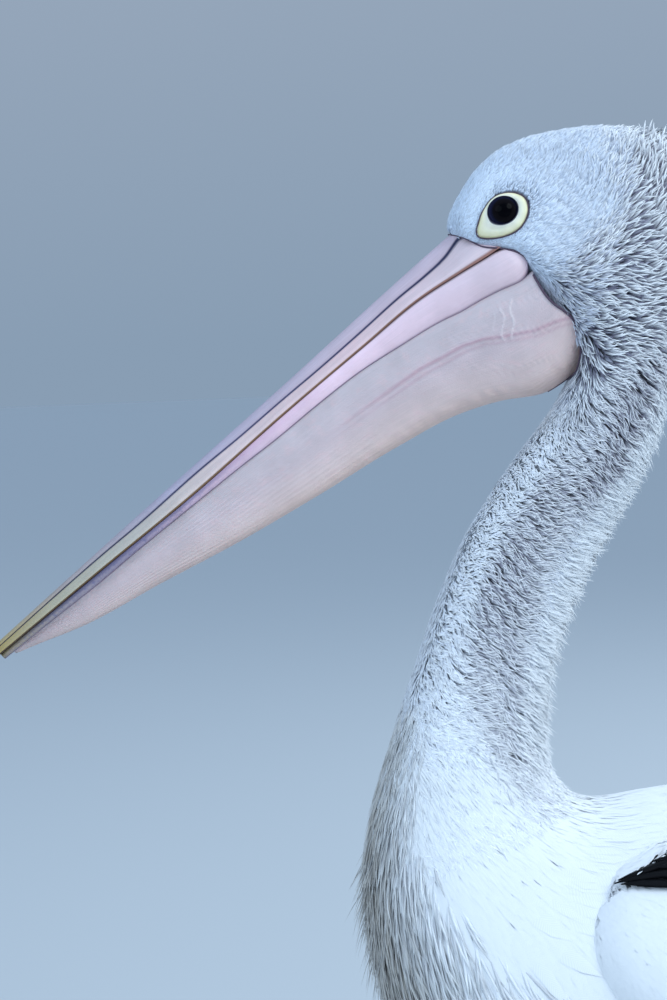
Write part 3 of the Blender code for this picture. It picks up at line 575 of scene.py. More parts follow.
def tufts(name, region, count, length, half, tip_out, material, surface=body_at, unwrap=body_unwrap,
          keep=off_bare_parts, tone=neck_grey, spread=0.2, weight=None, depth=SKIN_DEPTH, heading=None,
          swirl=0.0, outline=WISP, rib=0.45, mirror=False, seed=1, soft=0.5, curl=0.0, bury=2,
          push=0.0):
    """Tufts over part of a surface. length, half, tip_out, rib, soft and push are functions of the place, or
    numbers. spread, swirl and curl turn the tufts from their heading at random, in waves, and along each.
    bury is how quickly they come up out of the skin."""
    stops, widths = outline
    draw = np.random.default_rng(seed)
    a, b = scatter(surface, region[0], region[1], count, weight)
    if keep:
        kept = keep(a, b)
        a, b = a[kept], b[kept]
    total = len(a)
    place = surface(a, b)
    wave = np.sin(place @ (310, 190, 260)) * np.sin(place @ (-170, 330, 210) + 1.3)
    angle = draw.normal(0, spread, total) + swirl * wave
    bend = curl * (0.35 * draw.normal(0, 1, total) + wave)

    def bent(p, n, along, share):
        return turned(heading(p, n, along) if heading else along, n, angle + bend * (share - 0.35))

    def value(x):
        return x(a, b) if callable(x) else np.full(total, float(x))

    long = value(length) * draw.uniform(0.8, 1.2, total)
    line = walk(surface, a, b, bent, long, stops)
    out = value(tip_out) * draw.uniform(0.4, 1.5, total) * (1 + 0.5 * wave)
    rise = np.array(stops)
    height = -depth * 0.9 * (1 - rise) ** bury + out[:, None] * rise**1.3
    wide = value(half)[:, None] * np.array(widths) * draw.uniform(0.85, 1.15, (total, len(stops)))
    shade = np.clip((tone(a, b) if tone else np.zeros(total)) * draw.uniform(0.65, 1.25, total), 0, 1)
    vanes(name, line, height, wide, wide * value(rib)[:, None], unwrap(a, b), shade, material, mirror,
          value(soft), value(push))


def by_row(rows, values):
    return lambda row, turn: np.interp(row, rows, values)


# How steeply the head and neck feathers rise towards the rear, by height: up at the crest, down the neck.
LIE_HEIGHTS = (0.46, 0.50, 0.53, 0.56, 0.60, 0.63, 0.66, 0.70, 0.72, 0.735, 0.75, 0.765, 0.78, 0.79, 0.80,
               0.81, 0.823, 0.836, 0.85, 0.867)
LIE_SLOPES = (-60, -45, -38, -30, -25, -25, -35, -48, -42, -30, -15, -2, 8, 13, 18, 24, 33, 44, 54, 62)


def swept(p, n, along):
    """Backwards by the slopes above, more downwards by the throat and on the back of the head; on the neck's
    front and back lines along it."""
    unit = unit_of(along)
    y, z = p[..., 1], p[..., 2]
    slope = np.interp(z, LIE_HEIGHTS, LIE_SLOPES)
    slope = slope - 28 * (1 - soft_step(y, -0.105, -0.070)) * (1 - soft_step(z, 0.79, 0.82)) * (z > 0.70)
    limit = 0.82 - 0.37 * soft_step(z, 0.66, 0.76)
    slope = np.radians(slope - (slope + 60) * soft_step((n[..., 1] - limit) / (1 - limit), 0.0, 0.8))
    back = np.stack([np.zeros_like(slope), np.cos(slope), np.sin(slope)], -1)
    ahead = soft_step(-n[..., 1], 0.80, 0.97) * (z < 0.73)
    behind = (1 - soft_step(np.abs(n[..., 0]), 0.10, 0.40)) * soft_step(n[..., 1], 0.1, 0.4)
    behind = behind * soft_step(z, 0.50, 0.53) * (1 - soft_step(z, 0.69, 0.74))
    return back + (unit - back) * np.maximum(ahead, behind)[..., None]


def grey_and_crown_shade(row, turn):
    """How dark the roots are: the neck's grey, and a little of it over the rear of the crown and cheeks as
    painted shade between the hairs.
    """
    return np.maximum(neck_grey(row, turn), 0.42 * soft_step(row, 2.2, 5.2))


def by_jaw(row, turn):
    """Nearly 1 in the hollow behind the end of the jaw, where the face closes on the pouch."""
    place = body_at(row, turn)
    near = np.exp(-((bare_side(place[:, 1], place[:, 2]) / 0.010) ** 2))
    return near * soft_step(place[:, 2], 0.725, 0.745) * (1 - soft_step(place[:, 2], 0.798, 0.812))


def face_ground(row, turn):
    """The short feathers' ground: close on the forehead, thinning out where the grey begins."""
    return (1.0 + 1.0 * (row < 3.0)) * (1.03 - 0.85 * neck_grey(row, turn))


def rough(row, turn):
    """How ruffled the coat is: smooth on the face and the front of the neck, rough on the nape and sides."""
    behind = 1 - soft_step(off_back(turn), 20, 42)
    return np.clip(neck_grey(row, turn) + 0.75 * behind * soft_step(row, 6.0, 7.5) * (row < 17), 0, 1)


def smooth_to(low, high, power=1.0):
    return lambda row, turn: low + (high - low) * rough(row, turn) ** power


def short_by_eye(rows, values):
    """A hair's length by row, less close to the ring of the eye."""

    def length(row, turn):
        return np.interp(row, rows, values) * np.clip(eye_clear(body_at(row, turn)) / 0.006, 0.3, 1)

    return length


def face_out(row, turn):
    """How far the hairs' tips stand out: hardly on the face, more behind it and in the jaw's hollow."""
    return np.interp(row, (0, 3, 4.5, 6.4), (0.0003, 0.0005, 0.0010, 0.0014)) + 0.0018 * by_jaw(row, turn)


def face_soft(row, turn):
    """How smoothly the hairs are shaded: most on the forehead and in the jaw's hollow."""
    return np.maximum(np.interp(row, (1.5, 4), (0.66, 0.34)), 0.85 * by_jaw(row, turn))


def face_push(row, turn):
    return 2.6 * by_jaw(row, turn)


SPLIT = 1.45                    # the turn from the back line at which the crown ends and the cheeks begin
for word, turn_range, count in (("crown", (-SPLIT, SPLIT), 15000), ("cheek_left", (SPLIT, math.pi), 11000),
                                ("cheek_right", (-math.pi, -SPLIT), 11000)):
    tufts(f"coat_{word}", ((0.05, 6.5), turn_range), count,
          short_by_eye((0, 2, 4, 6.4), (0.0042, 0.0062, 0.0085, 0.0115)),
          by_row((0, 3, 5, 6.4), (0.00044, 0.00060, 0.00076, 0.00082)), face_out, fine_feather, spread=0.11,
          swirl=0.22, push=face_push, weight=face_ground, depth=FACE_DEPTH, heading=swept, tone=grey_and_crown_shade,
          outline=HAIR, rib=by_row((2, 4), (0.5, 0.8)), seed=1, curl=0.3, soft=face_soft)


def nape_weight(row, turn):
    """Where the ruffled tufts stand: as far forward as the grey, and the whole nape."""
    return np.clip(soft_step(row, 3.8, 5.8) * 0.45 + neck_grey(row, turn), 0.02, 1) * soft_step(row, 3.4, 4.6)


ALL_ROUND = (-math.pi, math.pi)
tufts("coat_nape_down", ((4.4, 9.6), ALL_ROUND), 10000, by_row((4.5, 6, 9.4), (0.0070, 0.0100, 0.0090)),
      smooth_to(0.0006, 0.0008), smooth_to(0.0003, 0.0008), nape_down_with_shade, spread=0.13, swirl=0.25, depth=0.003,
      weight=nape_weight, heading=swept, seed=2, soft=0.6, rib=0.4, curl=0.5, outline=HAIR)
tufts("coat_nape_tips", ((4.2, 9.7), ALL_ROUND), 5600,
      by_row((4.4, 5.2, 6, 9.4), (0.007, 0.011, 0.016, 0.013)), smooth_to(0.00050, 0.00085),
      smooth_to(0.0006, 0.0026), nape_feather, spread=0.09, swirl=0.26, depth=0.0028, weight=nape_weight,
      heading=swept, seed=12, soft=0.45, rib=0.5, curl=0.6)
tufts("coat_crest", ((5.7, 9.6), (-0.9, 0.9)), 700, by_row((5.7, 6.5, 9.6), (0.011, 0.018, 0.017)), 0.0008,
      by_row((5.7, 6.0, 6.6, 7.4, 9.6), (0.0008, 0.0020, 0.0062, 0.0054, 0.0060)), nape_feather, spread=0.22,
      swirl=0.3, seed=3, soft=0.45, heading=swept, curl=0.8)
NECK_LENGTHS = ((9.3, 13, 15, 17), (0.0088, 0.0088, 0.0115, 0.024))


def wool_soft(row, turn):
    """How smoothly the neck is shaded: the white front and back more than the grey wool."""
    return 0.9 - 0.4 * neck_grey(row, turn)


for end, turn_range in (("left", (0.0, math.pi)), ("right", (-math.pi, 0.0))):
    tufts(f"coat_neck_down_{end}", ((9.3, 17.4), turn_range), 10500, by_row(*NECK_LENGTHS),
          by_row((13, 15, 17), (0.00062, 0.0007, 0.0011)), smooth_to(0.0003, 0.0008), grey_down, spread=0.18,
          swirl=0.28, heading=swept, seed=4, soft=smooth_to(0.85, 0.6), rib=0.4, curl=0.5, outline=HAIR)
    tufts(f"coat_neck_tips_{end}", ((9.3, 17.4), turn_range), 10500, by_row(*NECK_LENGTHS),
          by_row((13, 15, 17), (0.00050, 0.00055, 0.0009)), smooth_to(0.0005, 0.0022), wool_feather,
          spread=0.20, swirl=0.30, heading=swept, seed=5, soft=wool_soft, rib=smooth_to(0.25, 0.5),
          curl=0.7, outline=HAIR)


def fringe_weight(row, turn):
    """The fringe's ground: both sides of the neck's back line, less and less towards both its ends."""
    behind = 1 - soft_step(off_back(turn), 34, 74)
    return behind * soft_step(row, 9.6, 11.0) * (1 - soft_step(row, 15.8, 17.0)) + 1e-6


tufts("coat_neck_fringe", ((9.6, 17.0), (-1.1, 1.1)), 5200, 0.0115, 0.00062,
      by_row((9.6, 11.5, 15.5, 17), (0.0020, 0.0046, 0.0046, 0.0010)), wool_feather, spread=0.16, swirl=0.15,
      weight=fringe_weight, heading=swept, tone=None, seed=15, soft=0.85, rib=0.2, curl=0.3, outline=HAIR)

# ============================================================ coat of the body
# Long narrow hackles hang over the breast, straw-grey at the very front, with their near-black roots as
# painted shade between them. Broad soft feathers cover the back, the flanks and the belly, and short ones the
# thighs. All are white.

# The hackles' toned roots are near black: painted shade in the gaps between the hanging strands, under a
# straw tint at their tips.
hackle_feather = feather_material("breast_hackle", (0.74, 0.76, 0.82), SNOW, (0.055, 0.05, 0.045),
                                  (0.66, 0.62, 0.57), starts=0.2, barbs=30, vary=0.35)
contour_feather = feather_material("body_feather", (0.83, 0.85, 0.89), SNOW, starts=0.1, barbs=26, vary=0.02,
                                   bump=0.00003)


def droop(p, n, along):
    """Along the body, and a little downwards."""
    return unit_of(along) + np.array((0, 0, -0.35))


def front_of(turn_from, turn_to):
    """A ground on the belly's side of a turn from the back line, in degrees."""
    return lambda row, turn: soft_step(off_back(turn), turn_from, turn_to)


def back_of(turn_from, turn_to):
    """A ground on the back's side of a turn from the back line, in degrees."""
    return lambda row, turn: 1 - soft_step(off_back(turn), turn_from, turn_to)


def breast_weight(row, turn):
    """The hackles' ground: a strip in front at the foot of the neck, and the whole breast lower down."""
    start = np.interp(row, (15.4, 16.6, 17.3, 18.0, 19.0, 20.0, 21.8), (124, 112, 102, 92, 82, 74, 70))
    return soft_step(off_back(turn), start, start + 30)


def straw_tint_and_shade(row, turn):
    """How straw-grey the hackles are, with dark roots as painted shade between them: most at the very front
    of the breast.
    """
    start = np.interp(row, (15.4, 18, 20, 21.8), (128, 108, 92, 86))
    amount = np.interp(row, (15.4, 17, 19.4, 21.0), (0.5, 1, 1, 0.05))
    return soft_step(off_back(turn), start, start + 48) * amount


def shoulder_weight(row, turn):
    """The shoulder's ground: all round the foot of the neck, then a strip on each side above the wing."""
    angle = off_back(turn)
    return (row < 20.2) + (row >= 20.2) * soft_step(angle, 36, 46) * (1 - soft_step(angle, 92, 104))


def hanging(p, n, along):
    """Along the body, and more and more downwards over the lower breast."""
    fall = np.interp(p[..., 2], (0.24, 0.36, 0.44, 0.50), (0.9, 1.15, 0.75, 0.0))
    fall = fall * soft_step(p[..., 1], -0.22, -0.12)
    return unit_of(along) + fall[..., None] * np.array((0, 0, -1.0))


def ragged(row, turn):
    """How far the hackles' tips stand out: most at the very front, where they hang free."""
    free = soft_step(off_back(turn), 138, 166) * soft_step(row, 17.5, 19.5)
    return np.interp(row, (15.4, 17, 20, 21.8), (0.0004, 0.0026, 0.0036, 0.0016)) * (
        0.25 + 0.75 * breast_weight(row, turn)) + 0.0030 * free


tufts("coat_shoulder", ((16.2, 22.4), ALL_ROUND), 7200, by_row((16.2, 18, 20.5), (0.026, 0.034, 0.040)),
      by_row((16.2, 18, 20.5), (0.0010, 0.0018, 0.0030)), by_row((16.2, 18), (0.0007, -0.0004)),
      contour_feather, spread=0.08, swirl=0.06, weight=shoulder_weight, heading=swept,
      rib=by_row((16.2, 18.5), (0.25, 0.05)), seed=6, soft=by_row((16.2, 18), (0.7, 0.97)), bury=6)
tufts("coat_breast", ((15.4, 21.9), ALL_ROUND), 8600, by_row((15.4, 17, 21), (0.026, 0.046, 0.060)),
      by_row((15.4, 18), (0.0009, 0.00125)), ragged, hackle_feather, spread=0.09, swirl=0.14,
      weight=breast_weight, heading=hanging, tone=straw_tint_and_shade, rib=0.5, seed=7, soft=0.4, curl=0.2)
tufts("coat_breast_ends", ((17.2, 21.6), ALL_ROUND), 800, 0.034, 0.0008, 0.0085, hackle_feather, spread=0.16,
      swirl=0.1, weight=front_of(146, 164), heading=hanging, tone=straw_tint_and_shade, rib=0.5, seed=27,
      soft=0.3, curl=0.4)
tufts("coat_back", ((19.5, 29.6), (-math.pi / 2, math.pi / 2)), 3000,
      by_row((20, 24, 29), (0.036, 0.044, 0.052)), by_row((20, 24), (0.0060, 0.0085)), -0.0002,
      contour_feather, spread=0.05, weight=back_of(48, 75), rib=0.04, seed=8, soft=0.96, bury=6)
tufts("coat_belly", ((20.0, 29.8), ALL_ROUND), 4200, by_row((20, 24, 29), (0.044, 0.046, 0.050)),
      by_row((20, 24), (0.0050, 0.0070)), 0.0004, contour_feather, spread=0.10, heading=droop,
      weight=front_of(70, 96), rib=0.08, seed=9, soft=0.90, bury=5)

# ============================================================ wings
# Each folded wing lies along the body. White coverts clothe the wrist in rows, black pointed scapulars hang
# over them from the back, and black secondaries and primaries reach back past the tail's root.

# Y, middle Z, half height, half width, depth, then the angles in degrees from the top of the section: upper
# edge, scapulars to coverts, coverts to secondaries, secondaries to primaries, lower edge.
WING = np.array((
    (-0.106, 0.376, 0.040, 0.094, 0.030, 78, 78, 100, 100, 100),
    (-0.097, 0.370, 0.064, 0.110, 0.034, 56, 56, 114, 114, 114),
    (-0.080, 0.362, 0.087, 0.123, 0.038, 42, 50, 126, 126, 126),
    (-0.055, 0.348, 0.110, 0.132, 0.040, 33, 49, 130, 132, 132),
    (-0.025, 0.333, 0.129, 0.138, 0.040, 31, 52, 128, 137, 137),
    (0.010, 0.319, 0.139, 0.142, 0.040, 30, 56, 121, 141, 141),
    (0.055, 0.306, 0.143, 0.144, 0.040, 29, 61, 111, 143, 143),
    (0.105, 0.294, 0.141, 0.142, 0.040, 26, 63, 100, 138, 144),
    (0.155, 0.283, 0.131, 0.137, 0.038, 23, 62, 90, 128, 144),
    (0.205, 0.272, 0.118, 0.128, 0.034, 20, 58, 79, 117, 140),
    (0.255, 0.262, 0.101, 0.113, 0.030, 18, 50, 64, 106, 135),
    (0.300, 0.253, 0.084, 0.096, 0.026, 17, 39, 44, 95, 129),
    (0.345, 0.243, 0.066, 0.078, 0.022, 17, 24, 24, 82, 122),
    (0.390, 0.232, 0.050, 0.060, 0.017, 18, 18, 18, 64, 116),
    (0.430, 0.220, 0.037, 0.045, 0.013, 22, 22, 22, 30, 110),
    (0.465, 0.207, 0.026, 0.032, 0.010, 30, 30, 30, 30, 104),
    (0.492, 0.196, 0.015, 0.020, 0.007, 45, 45, 45, 45, 92),
))
WING_END = len(WING) - 1
WING_SINK = (0.008, 0.022)      # how far the upper and lower edges are let into the body
SINK_ENDS = (0.28, 0.40)        # the stretch of Y over which that fades out
WING_OUT = 0.0015               # how far the feathers' ground lies outside the wing's solid


def wing_row(row):
    """The numbers of WING at any row: its sizes by a smooth curve, and its angles in straight steps."""
    knots, t = rows_about(WING, row)
    straight = knots[1] + (knots[2] - knots[1]) * t
    return np.concatenate([curve(knots, t)[..., :5], straight[..., 5:]], -1)


def on_wing(cut, y, angle):
    """Points on the left wing by the angle from the top of a section, with the edges let into the body."""
    upper, lower = cut[..., 5], cut[..., 9]
    share = (2 * angle - upper - lower) / np.maximum(lower - upper, 1)
    fade = np.clip((SINK_ENDS[1] - y) / (SINK_ENDS[1] - SINK_ENDS[0]), 0, 1)
    sink = np.where(share > 0, WING_SINK[1], WING_SINK[0])
    out = WING_OUT - sink * fade * (1 - np.sqrt(np.clip(1 - np.abs(share) ** 3, 0, 1)))
    turn = np.radians(angle)
    height = cut[..., 1] + (cut[..., 2] + out) * np.cos(turn)
    return np.stack([(cut[..., 3] + out) * np.sin(turn), y, height], -1)


def wing_at(row, edge):
    """Points on the left wing. edge counts the bands from the upper edge, 0, to the lower edge, 4."""
    cut = wing_row(row)
    edge = np.clip(edge, -0.3, 4.3)
    low = np.clip(np.floor(edge).astype(int), 0, 3)
    first = np.take_along_axis(cut[..., 5:], low[..., None], -1)[..., 0]
    second = np.take_along_axis(cut[..., 5:], low[..., None] + 1, -1)[..., 0]
    return on_wing(cut, cut[..., 0], first + (second - first) * (edge - low))


def wing_face(y, angle):
    """Points on the left wing by Y and by the angle from the top."""
    return on_wing(wing_row(np.interp(y, WING[:, 0], np.arange(WING_END + 1))), y, angle)


def edge_angle(y, edge):
    """The angle of one of the wing's five lengthwise edges at Y."""
    return np.interp(y, WING[:, 0], WING[:, 5 + edge])


def trace(surface, a, b):
    """Lines over a surface through given places: their points, normals and sideways directions."""
    points, normal, _, _ = lie_of(surface, a, b)
    return points, normal, np.cross(across_only(np.gradient(points, axis=1), normal), normal)


# A quill's section, across from edge to edge with the shaft in the middle, and its thickness.
QUILL_ACROSS = np.array((-1.0, -0.55, -0.07, 0.07, 0.55, 1.0))
QUILL_SHAFT = 0.0006 * np.array((0, 0, 1, 1, 0, 0))
QUILL_THICK = 0.0007


def quills(name, line, height, half, camber, unwrap, material, lean=0.0, mirror=False):
    """One mesh of large closed feathers: a cambered vane with nicked edges on each side of a raised shaft."""
    points, normals, sideways = line
    total, rows = points.shape[:2]
    share = np.linspace(0, 1, rows)
    worn = (share**2)[None, :, None] * (share < 0.99)[None, :, None]
    across = QUILL_ACROSS * (1 + 0.05 * rng.standard_normal((total, rows, 6)) * worn)
    arch = camber * (1 - QUILL_ACROSS**2) + QUILL_SHAFT * (1 - share[:, None])
    wide = half[..., None] * (across + lean * (1 - QUILL_ACROSS**2))
    up = height[..., None] + arch[None] * (half / half.max(1, keepdims=True))[..., None]
    top = points[:, :, None] + sideways[:, :, None] * wide[..., None] + normals[:, :, None] * up[..., None]
    under = top[:, :, 4:0:-1] - normals[:, :, None] * QUILL_THICK * (1.0 - 0.6 * share[None, :, None, None])
    ring = np.concatenate([top, under], 2)
    around = ring.shape[2]
    coords = ring.reshape(total, -1, 3)
    per = coords.shape[1]
    faces = []
    for k in range(rows - 1):
        for i in range(around):
            j = (i + 1) % around
            a, b = k * around, (k + 1) * around
            faces.append((a + i, b + i, b + j, a + j))
    base, tip = 0, (rows - 1) * around
    for i in range(1, around - 1):
        faces.append((base, base + i, base + i + 1))
        faces.append((tip, tip + i + 1, tip + i))
    if mirror:
        coords = coords * (-1, 1, 1)
        faces = [face[::-1] for face in faces]
    column = np.concatenate([(QUILL_ACROSS + 1) / 2, (QUILL_ACROSS[4:0:-1] + 1) / 2])
    build_vanes(name, coords, faces, np.repeat(share, around), np.tile(column, rows), unwrap,
                np.zeros(total), material)


black_feather = feather_material("black_flight_feather", (0.008, 0.008, 0.010), (0.018, 0.016, 0.016),
    starts=0.5, barbs=70, vary=0.25, roughness=0.5, sheen=0.05, bump=0.00012, specular=0.2)
black_point = feather_material("black_scapular", (0.0035, 0.0035, 0.005), (0.009, 0.0085, 0.009), starts=0.7,
                               barbs=44, vary=0.25, roughness=0.55, sheen=0.0, bump=0.0001, specular=0.10)
covert_feather = feather_material("white_covert", (0.83, 0.85, 0.89), SNOW, starts=0.1, barbs=30, vary=0.02,
                                  bump=0.00003)

QUILL_SHARES = np.array((0.0, 0.10, 0.25, 0.42, 0.60, 0.76, 0.88, 0.95, 0.985, 1.0))
QUILL_WIDTHS = np.array((0.30, 0.60, 0.88, 1.0, 1.0, 0.93, 0.76, 0.52, 0.28, 0.06))
POINT_WIDTHS = np.array((0.10, 0.50, 0.90, 1.0, 0.88, 0.66, 0.42, 0.24, 0.13, 0.03))


def wing_feathers(word, roots, tips, half, lift, camber, widths, material, lean=0.0):
    """Large feathers on both wings, each from a root (Y, angle) to a tip (Y, angle)."""
    roots, tips = np.array(roots, float), np.array(tips, float)
    t = QUILL_SHARES
    y = roots[:, :1] + (tips[:, :1] - roots[:, :1]) * t
    angle = roots[:, 1:] + (tips[:, 1:] - roots[:, 1:]) * t**1.15
    line = trace(wing_face, y, angle)
    half = np.broadcast_to(half, len(roots))[:, None] * widths
    height = np.broadcast_to(lift, len(roots))[:, None] + 0 * t
    unwrap = np.stack([0.05 + 0.9 * (roots[:, 0] + 0.11) / 0.62, roots[:, 1] / 180], -1)
    for mirror, end in SIDES:
        quills(f"{word}_{end}", line, height, half, camber, unwrap, material, lean, mirror)


# Primaries: nine long narrow quills below, with their tips one behind the other.
count = 9
share = np.linspace(0, 1, count)
wing_feathers("primary_quills", np.stack([np.full(count, 0.09) + 0.02 * share, 138 - 16 * share], -1),
              np.stack([0.360 + 0.131 * share, 108 - 42 * share], -1), 0.0135,
              0.0006 + 0.0045 * (1 - share), 0.0024, QUILL_WIDTHS, black_feather, lean=0.25)
# Secondaries: broad quills that lie like slates, each over the one below it.
count = 15
share = np.linspace(0, 1, count)
root_y = 0.02 + 0.16 * share**1.2
wing_feathers("secondary_quills", np.stack([root_y, edge_angle(root_y, 2) - 4 + (1 - share) * 3], -1),
              np.stack([0.150 + 0.235 * share**0.9, 140 - 92 * share], -1), 0.0165, 0.0018 + 0.0035 * share,
              0.0030, QUILL_WIDTHS, black_feather, lean=0.25)
# Tertials: the long inner feathers that close the wing over the rump.
count = 7
share = np.linspace(0, 1, count)
wing_feathers("tertial_quills", np.stack([0.13 + 0.03 * share, 62 - 26 * share], -1),
              np.stack([0.372 + 0.034 * share, 60 - 38 * share], -1), 0.0175, 0.0050 + 0.0010 * share, 0.0032,
              QUILL_WIDTHS, black_feather, lean=0.2)
# Scapulars: pointed black lances in rows, short in front and long behind. They start in a point low on the
# shoulder and widen towards the back behind it.
SCAPULAR_YS = (-0.095, -0.080, -0.066, -0.050, -0.030, 0.050, 0.120)
SCAPULAR_UPPER = (52.5, 48.8, 43.6, 38, 34, 30.5, 26)
SCAPULAR_LOWER = (53.6, 52.0, 49.8, 48.8, 50.6, 58.5, 63)


def scapular_edges(y):
    """The angles from the top between which the black scapulars lie at Y."""
    return (np.where(y < 0.12, np.interp(y, SCAPULAR_YS, SCAPULAR_UPPER), edge_angle(y, 0)),
            np.where(y < 0.10, np.interp(y, SCAPULAR_YS, SCAPULAR_LOWER), edge_angle(y, 1)))


roots, tips, halves, lifts = [], [], [], []
for i, y in enumerate(np.linspace(-0.080, 0.20, 19)[::-1]):
    upper, lower = scapular_edges(y)
    rows_here = 3 if y < -0.055 else 4 if y < -0.02 else 5
    for k in range(rows_here):
        place = (k + 0.5 + 0.25 * (-1) ** i) / rows_here
        size = 0.050 + 0.105 * soft_step(y, -0.08, 0.16)
        turn = upper + (lower - upper) * place
        y = y + 0.0035 * math.sin(i * 2.3 + k * 1.9)
        end = y + size * (0.92 + 0.16 * ((i * 7 + k * 5) % 4) / 4)
        roots.append((y, turn))
        end_upper, end_lower = scapular_edges(end)
        tips.append((end, end_upper + (end_lower - end_upper) * place + 3.0 * place))
        halves.append(0.0030 + 0.0072 * soft_step(y, -0.09, 0.06))
        lifts.append(0.0030 + 0.0034 * soft_step(y, -0.09, 0.02) * (1 - 0.5 * place))
wing_feathers("scapular_lances", roots, tips, np.array(halves), np.array(lifts), 0.0012, POINT_WIDTHS,
              black_point)


def wing_unwrap(row, edge):
    """A place on the unwrap of the wing: its length by its bands."""
    return np.stack([0.02 + 0.96 * row / WING_END, 0.02 + 0.24 * edge], -1)


def wing_angle(row, edge):
    """The Y of a place on the wing, its angle from the top, and those of the scapulars' two edges there."""
    y = np.interp(row, np.arange(WING_END + 1), WING[:, 0])
    place, cut = wing_at(row, edge), wing_row(row)
    angle = np.degrees(np.arctan2(place[..., 0] / cut[..., 3], (place[..., 2] - cut[..., 1]) / cut[..., 2]))
    return (y, angle, *scapular_edges(y))


def black_bed(row, edge):
    """The ground of the short black feathers under the lances, thickest in front."""
    y, angle, upper, lower = wing_angle(row, edge)
    return (angle > upper - 0.8) * (angle < lower + 0.2) * (1 + 3.5 * (y < -0.03)) + 1e-9


def on_black(row, edge):
    """Keeps the places of that bed that lie well inside the black."""
    y, angle, upper, lower = wing_angle(row, edge)
    return (angle > upper - 1.4) & (angle < lower + 0.6) & (y > -0.078)


# A bed of short black feathers lies under the lances.
for mirror, end in SIDES:
    tufts(f"scapular_bed_{end}", ((1.9, 8.2), (-0.1, 1.3)), 1100, by_row((2, 4, 8), (0.012, 0.020, 0.030)),
          by_row((2, 4, 8), (0.0010, 0.0022, 0.0060)), by_row((2, 4, 8), (0.0022, 0.0026, 0.0024)),
          black_point, surface=wing_at, unwrap=wing_unwrap, weight=black_bed, spread=0.10, depth=0.002,
          mirror=mirror, keep=on_black, tone=None, seed=17, rib=0.10, soft=0.7)


def backwards(p, n, along):
    """Down round the front of the wrist, then more and more along the wing."""
    fall = np.interp(p[..., 1], (-0.10, -0.05, 0.02), (1.3, 0.55, 0.14))
    return unit_of(along) - fall[..., None] * np.array((0, 0, 1.0))


def covert_zone(row, edge):
    """The white coverts' ground: the wrist, its front edge, and the shoulder in front of the scapulars."""
    y, angle, upper, lower = wing_angle(row, edge)
    clear = (angle < upper - 0.8) | (angle > lower + 0.4) | (y < -0.084)
    ground = 1.0 * (edge <= 2.12) + 0.7 * (row < 3.2) * (edge > 2.12)
    return ground * clear * ((y < 0.06) | (edge > 0.85)) * (1 + 1.6 * (row < 4) + 1.6 * (row < 2)) + 1e-9


def over_black(row, edge):
    """A narrow strip along the front upper edge of the scapulars."""
    y, angle, upper, _ = wing_angle(row, edge)
    return (angle > upper - 1.0) * (angle < upper + 1.0) * (y > -0.078) * (y < -0.01) + 1e-9


# Coverts: small narrow feathers round the front of the wrist, and larger ones like slates behind them.
for mirror, end in SIDES:
    tufts(f"wrist_coverts_{end}", ((0.05, 11.4), (-0.1, 4.0)), 4600,
          by_row((0, 2, 4, 8, 11), (0.013, 0.018, 0.030, 0.042, 0.046)),
          by_row((0, 3, 8), (0.0014, 0.0028, 0.0080)), by_row((0, 4, 8), (-0.0003, -0.0003, 0.0001)),
          covert_feather, surface=wing_at, unwrap=wing_unwrap, weight=covert_zone, spread=0.09,
          heading=backwards, depth=0.0035, mirror=mirror, keep=None, tone=None, seed=5, bury=6,
          rib=by_row((0, 4, 8), (0.04, 0.04, 0.08)), soft=by_row((0, 4, 9), (0.98, 0.97, 0.90)))
    tufts(f"shoulder_tips_{end}", ((2.0, 5.4), (-0.3, 0.9)), 90, 0.011, 0.0009, 0.0052, covert_feather,
          surface=wing_at, unwrap=wing_unwrap, weight=over_black, spread=0.20, depth=0.0035,
          mirror=mirror, keep=None, tone=None, seed=31, rib=0.2, soft=0.8)
# ============================================================ tail
# Twenty-two short black quills in a flat fan, each overlapping the next from the middle outwards. Their
# roots sit under white coverts that come from the rump.

TAIL_ROOT = (0.372, 0.240)      # Y and Z of the middle of the tail's root
TAIL_DROP = math.radians(30)
TAIL_LENGTH = 0.146
TAIL_HALF = (0.030, 0.066)      # half its width at the root and at the tip
TAIL_QUILLS = 22
TAIL_COVERTS = 15


def tail_at(share, side):
    """Points on the tail's fan: share runs from the root to the tip, side from -1 to 1 across it."""
    half = TAIL_HALF[0] + (TAIL_HALF[1] - TAIL_HALF[0]) * share**0.8
    reach = TAIL_LENGTH * share
    sag = 0.010 * side**2
    level, fall = math.cos(TAIL_DROP), math.sin(TAIL_DROP)
    return np.stack([half * side, TAIL_ROOT[0] + level * reach - fall * sag,
                     TAIL_ROOT[1] - fall * reach - level * sag], -1)


def closed_piece(name, coords, faces, material, marks, replaces, mirror):
    """A smooth closed piece from its points and faces, which are turned outwards. marks are four values for
    each point."""
    mesh = bpy.data.meshes.new(name)
    mesh.from_pydata((coords * (-1, 1, 1) if mirror else coords).tolist(), [], faces)
    made = bmesh.new()
    made.from_mesh(mesh)
    bmesh.ops.recalc_face_normals(made, faces=made.faces)
    if made.calc_volume(signed=True) < 0:
        bmesh.ops.reverse_faces(made, faces=made.faces)
    made.to_mesh(mesh)
    made.free()
    mesh.shade_smooth()
    if marks is not None:
        give(mesh, "marks", marks.reshape(-1, 4), "FLOAT_COLOR")
    mesh.materials.append(material)
    made = new_mesh_object(name, mesh)
    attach(made, "root")
    if replaces:
        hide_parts(*replaces)


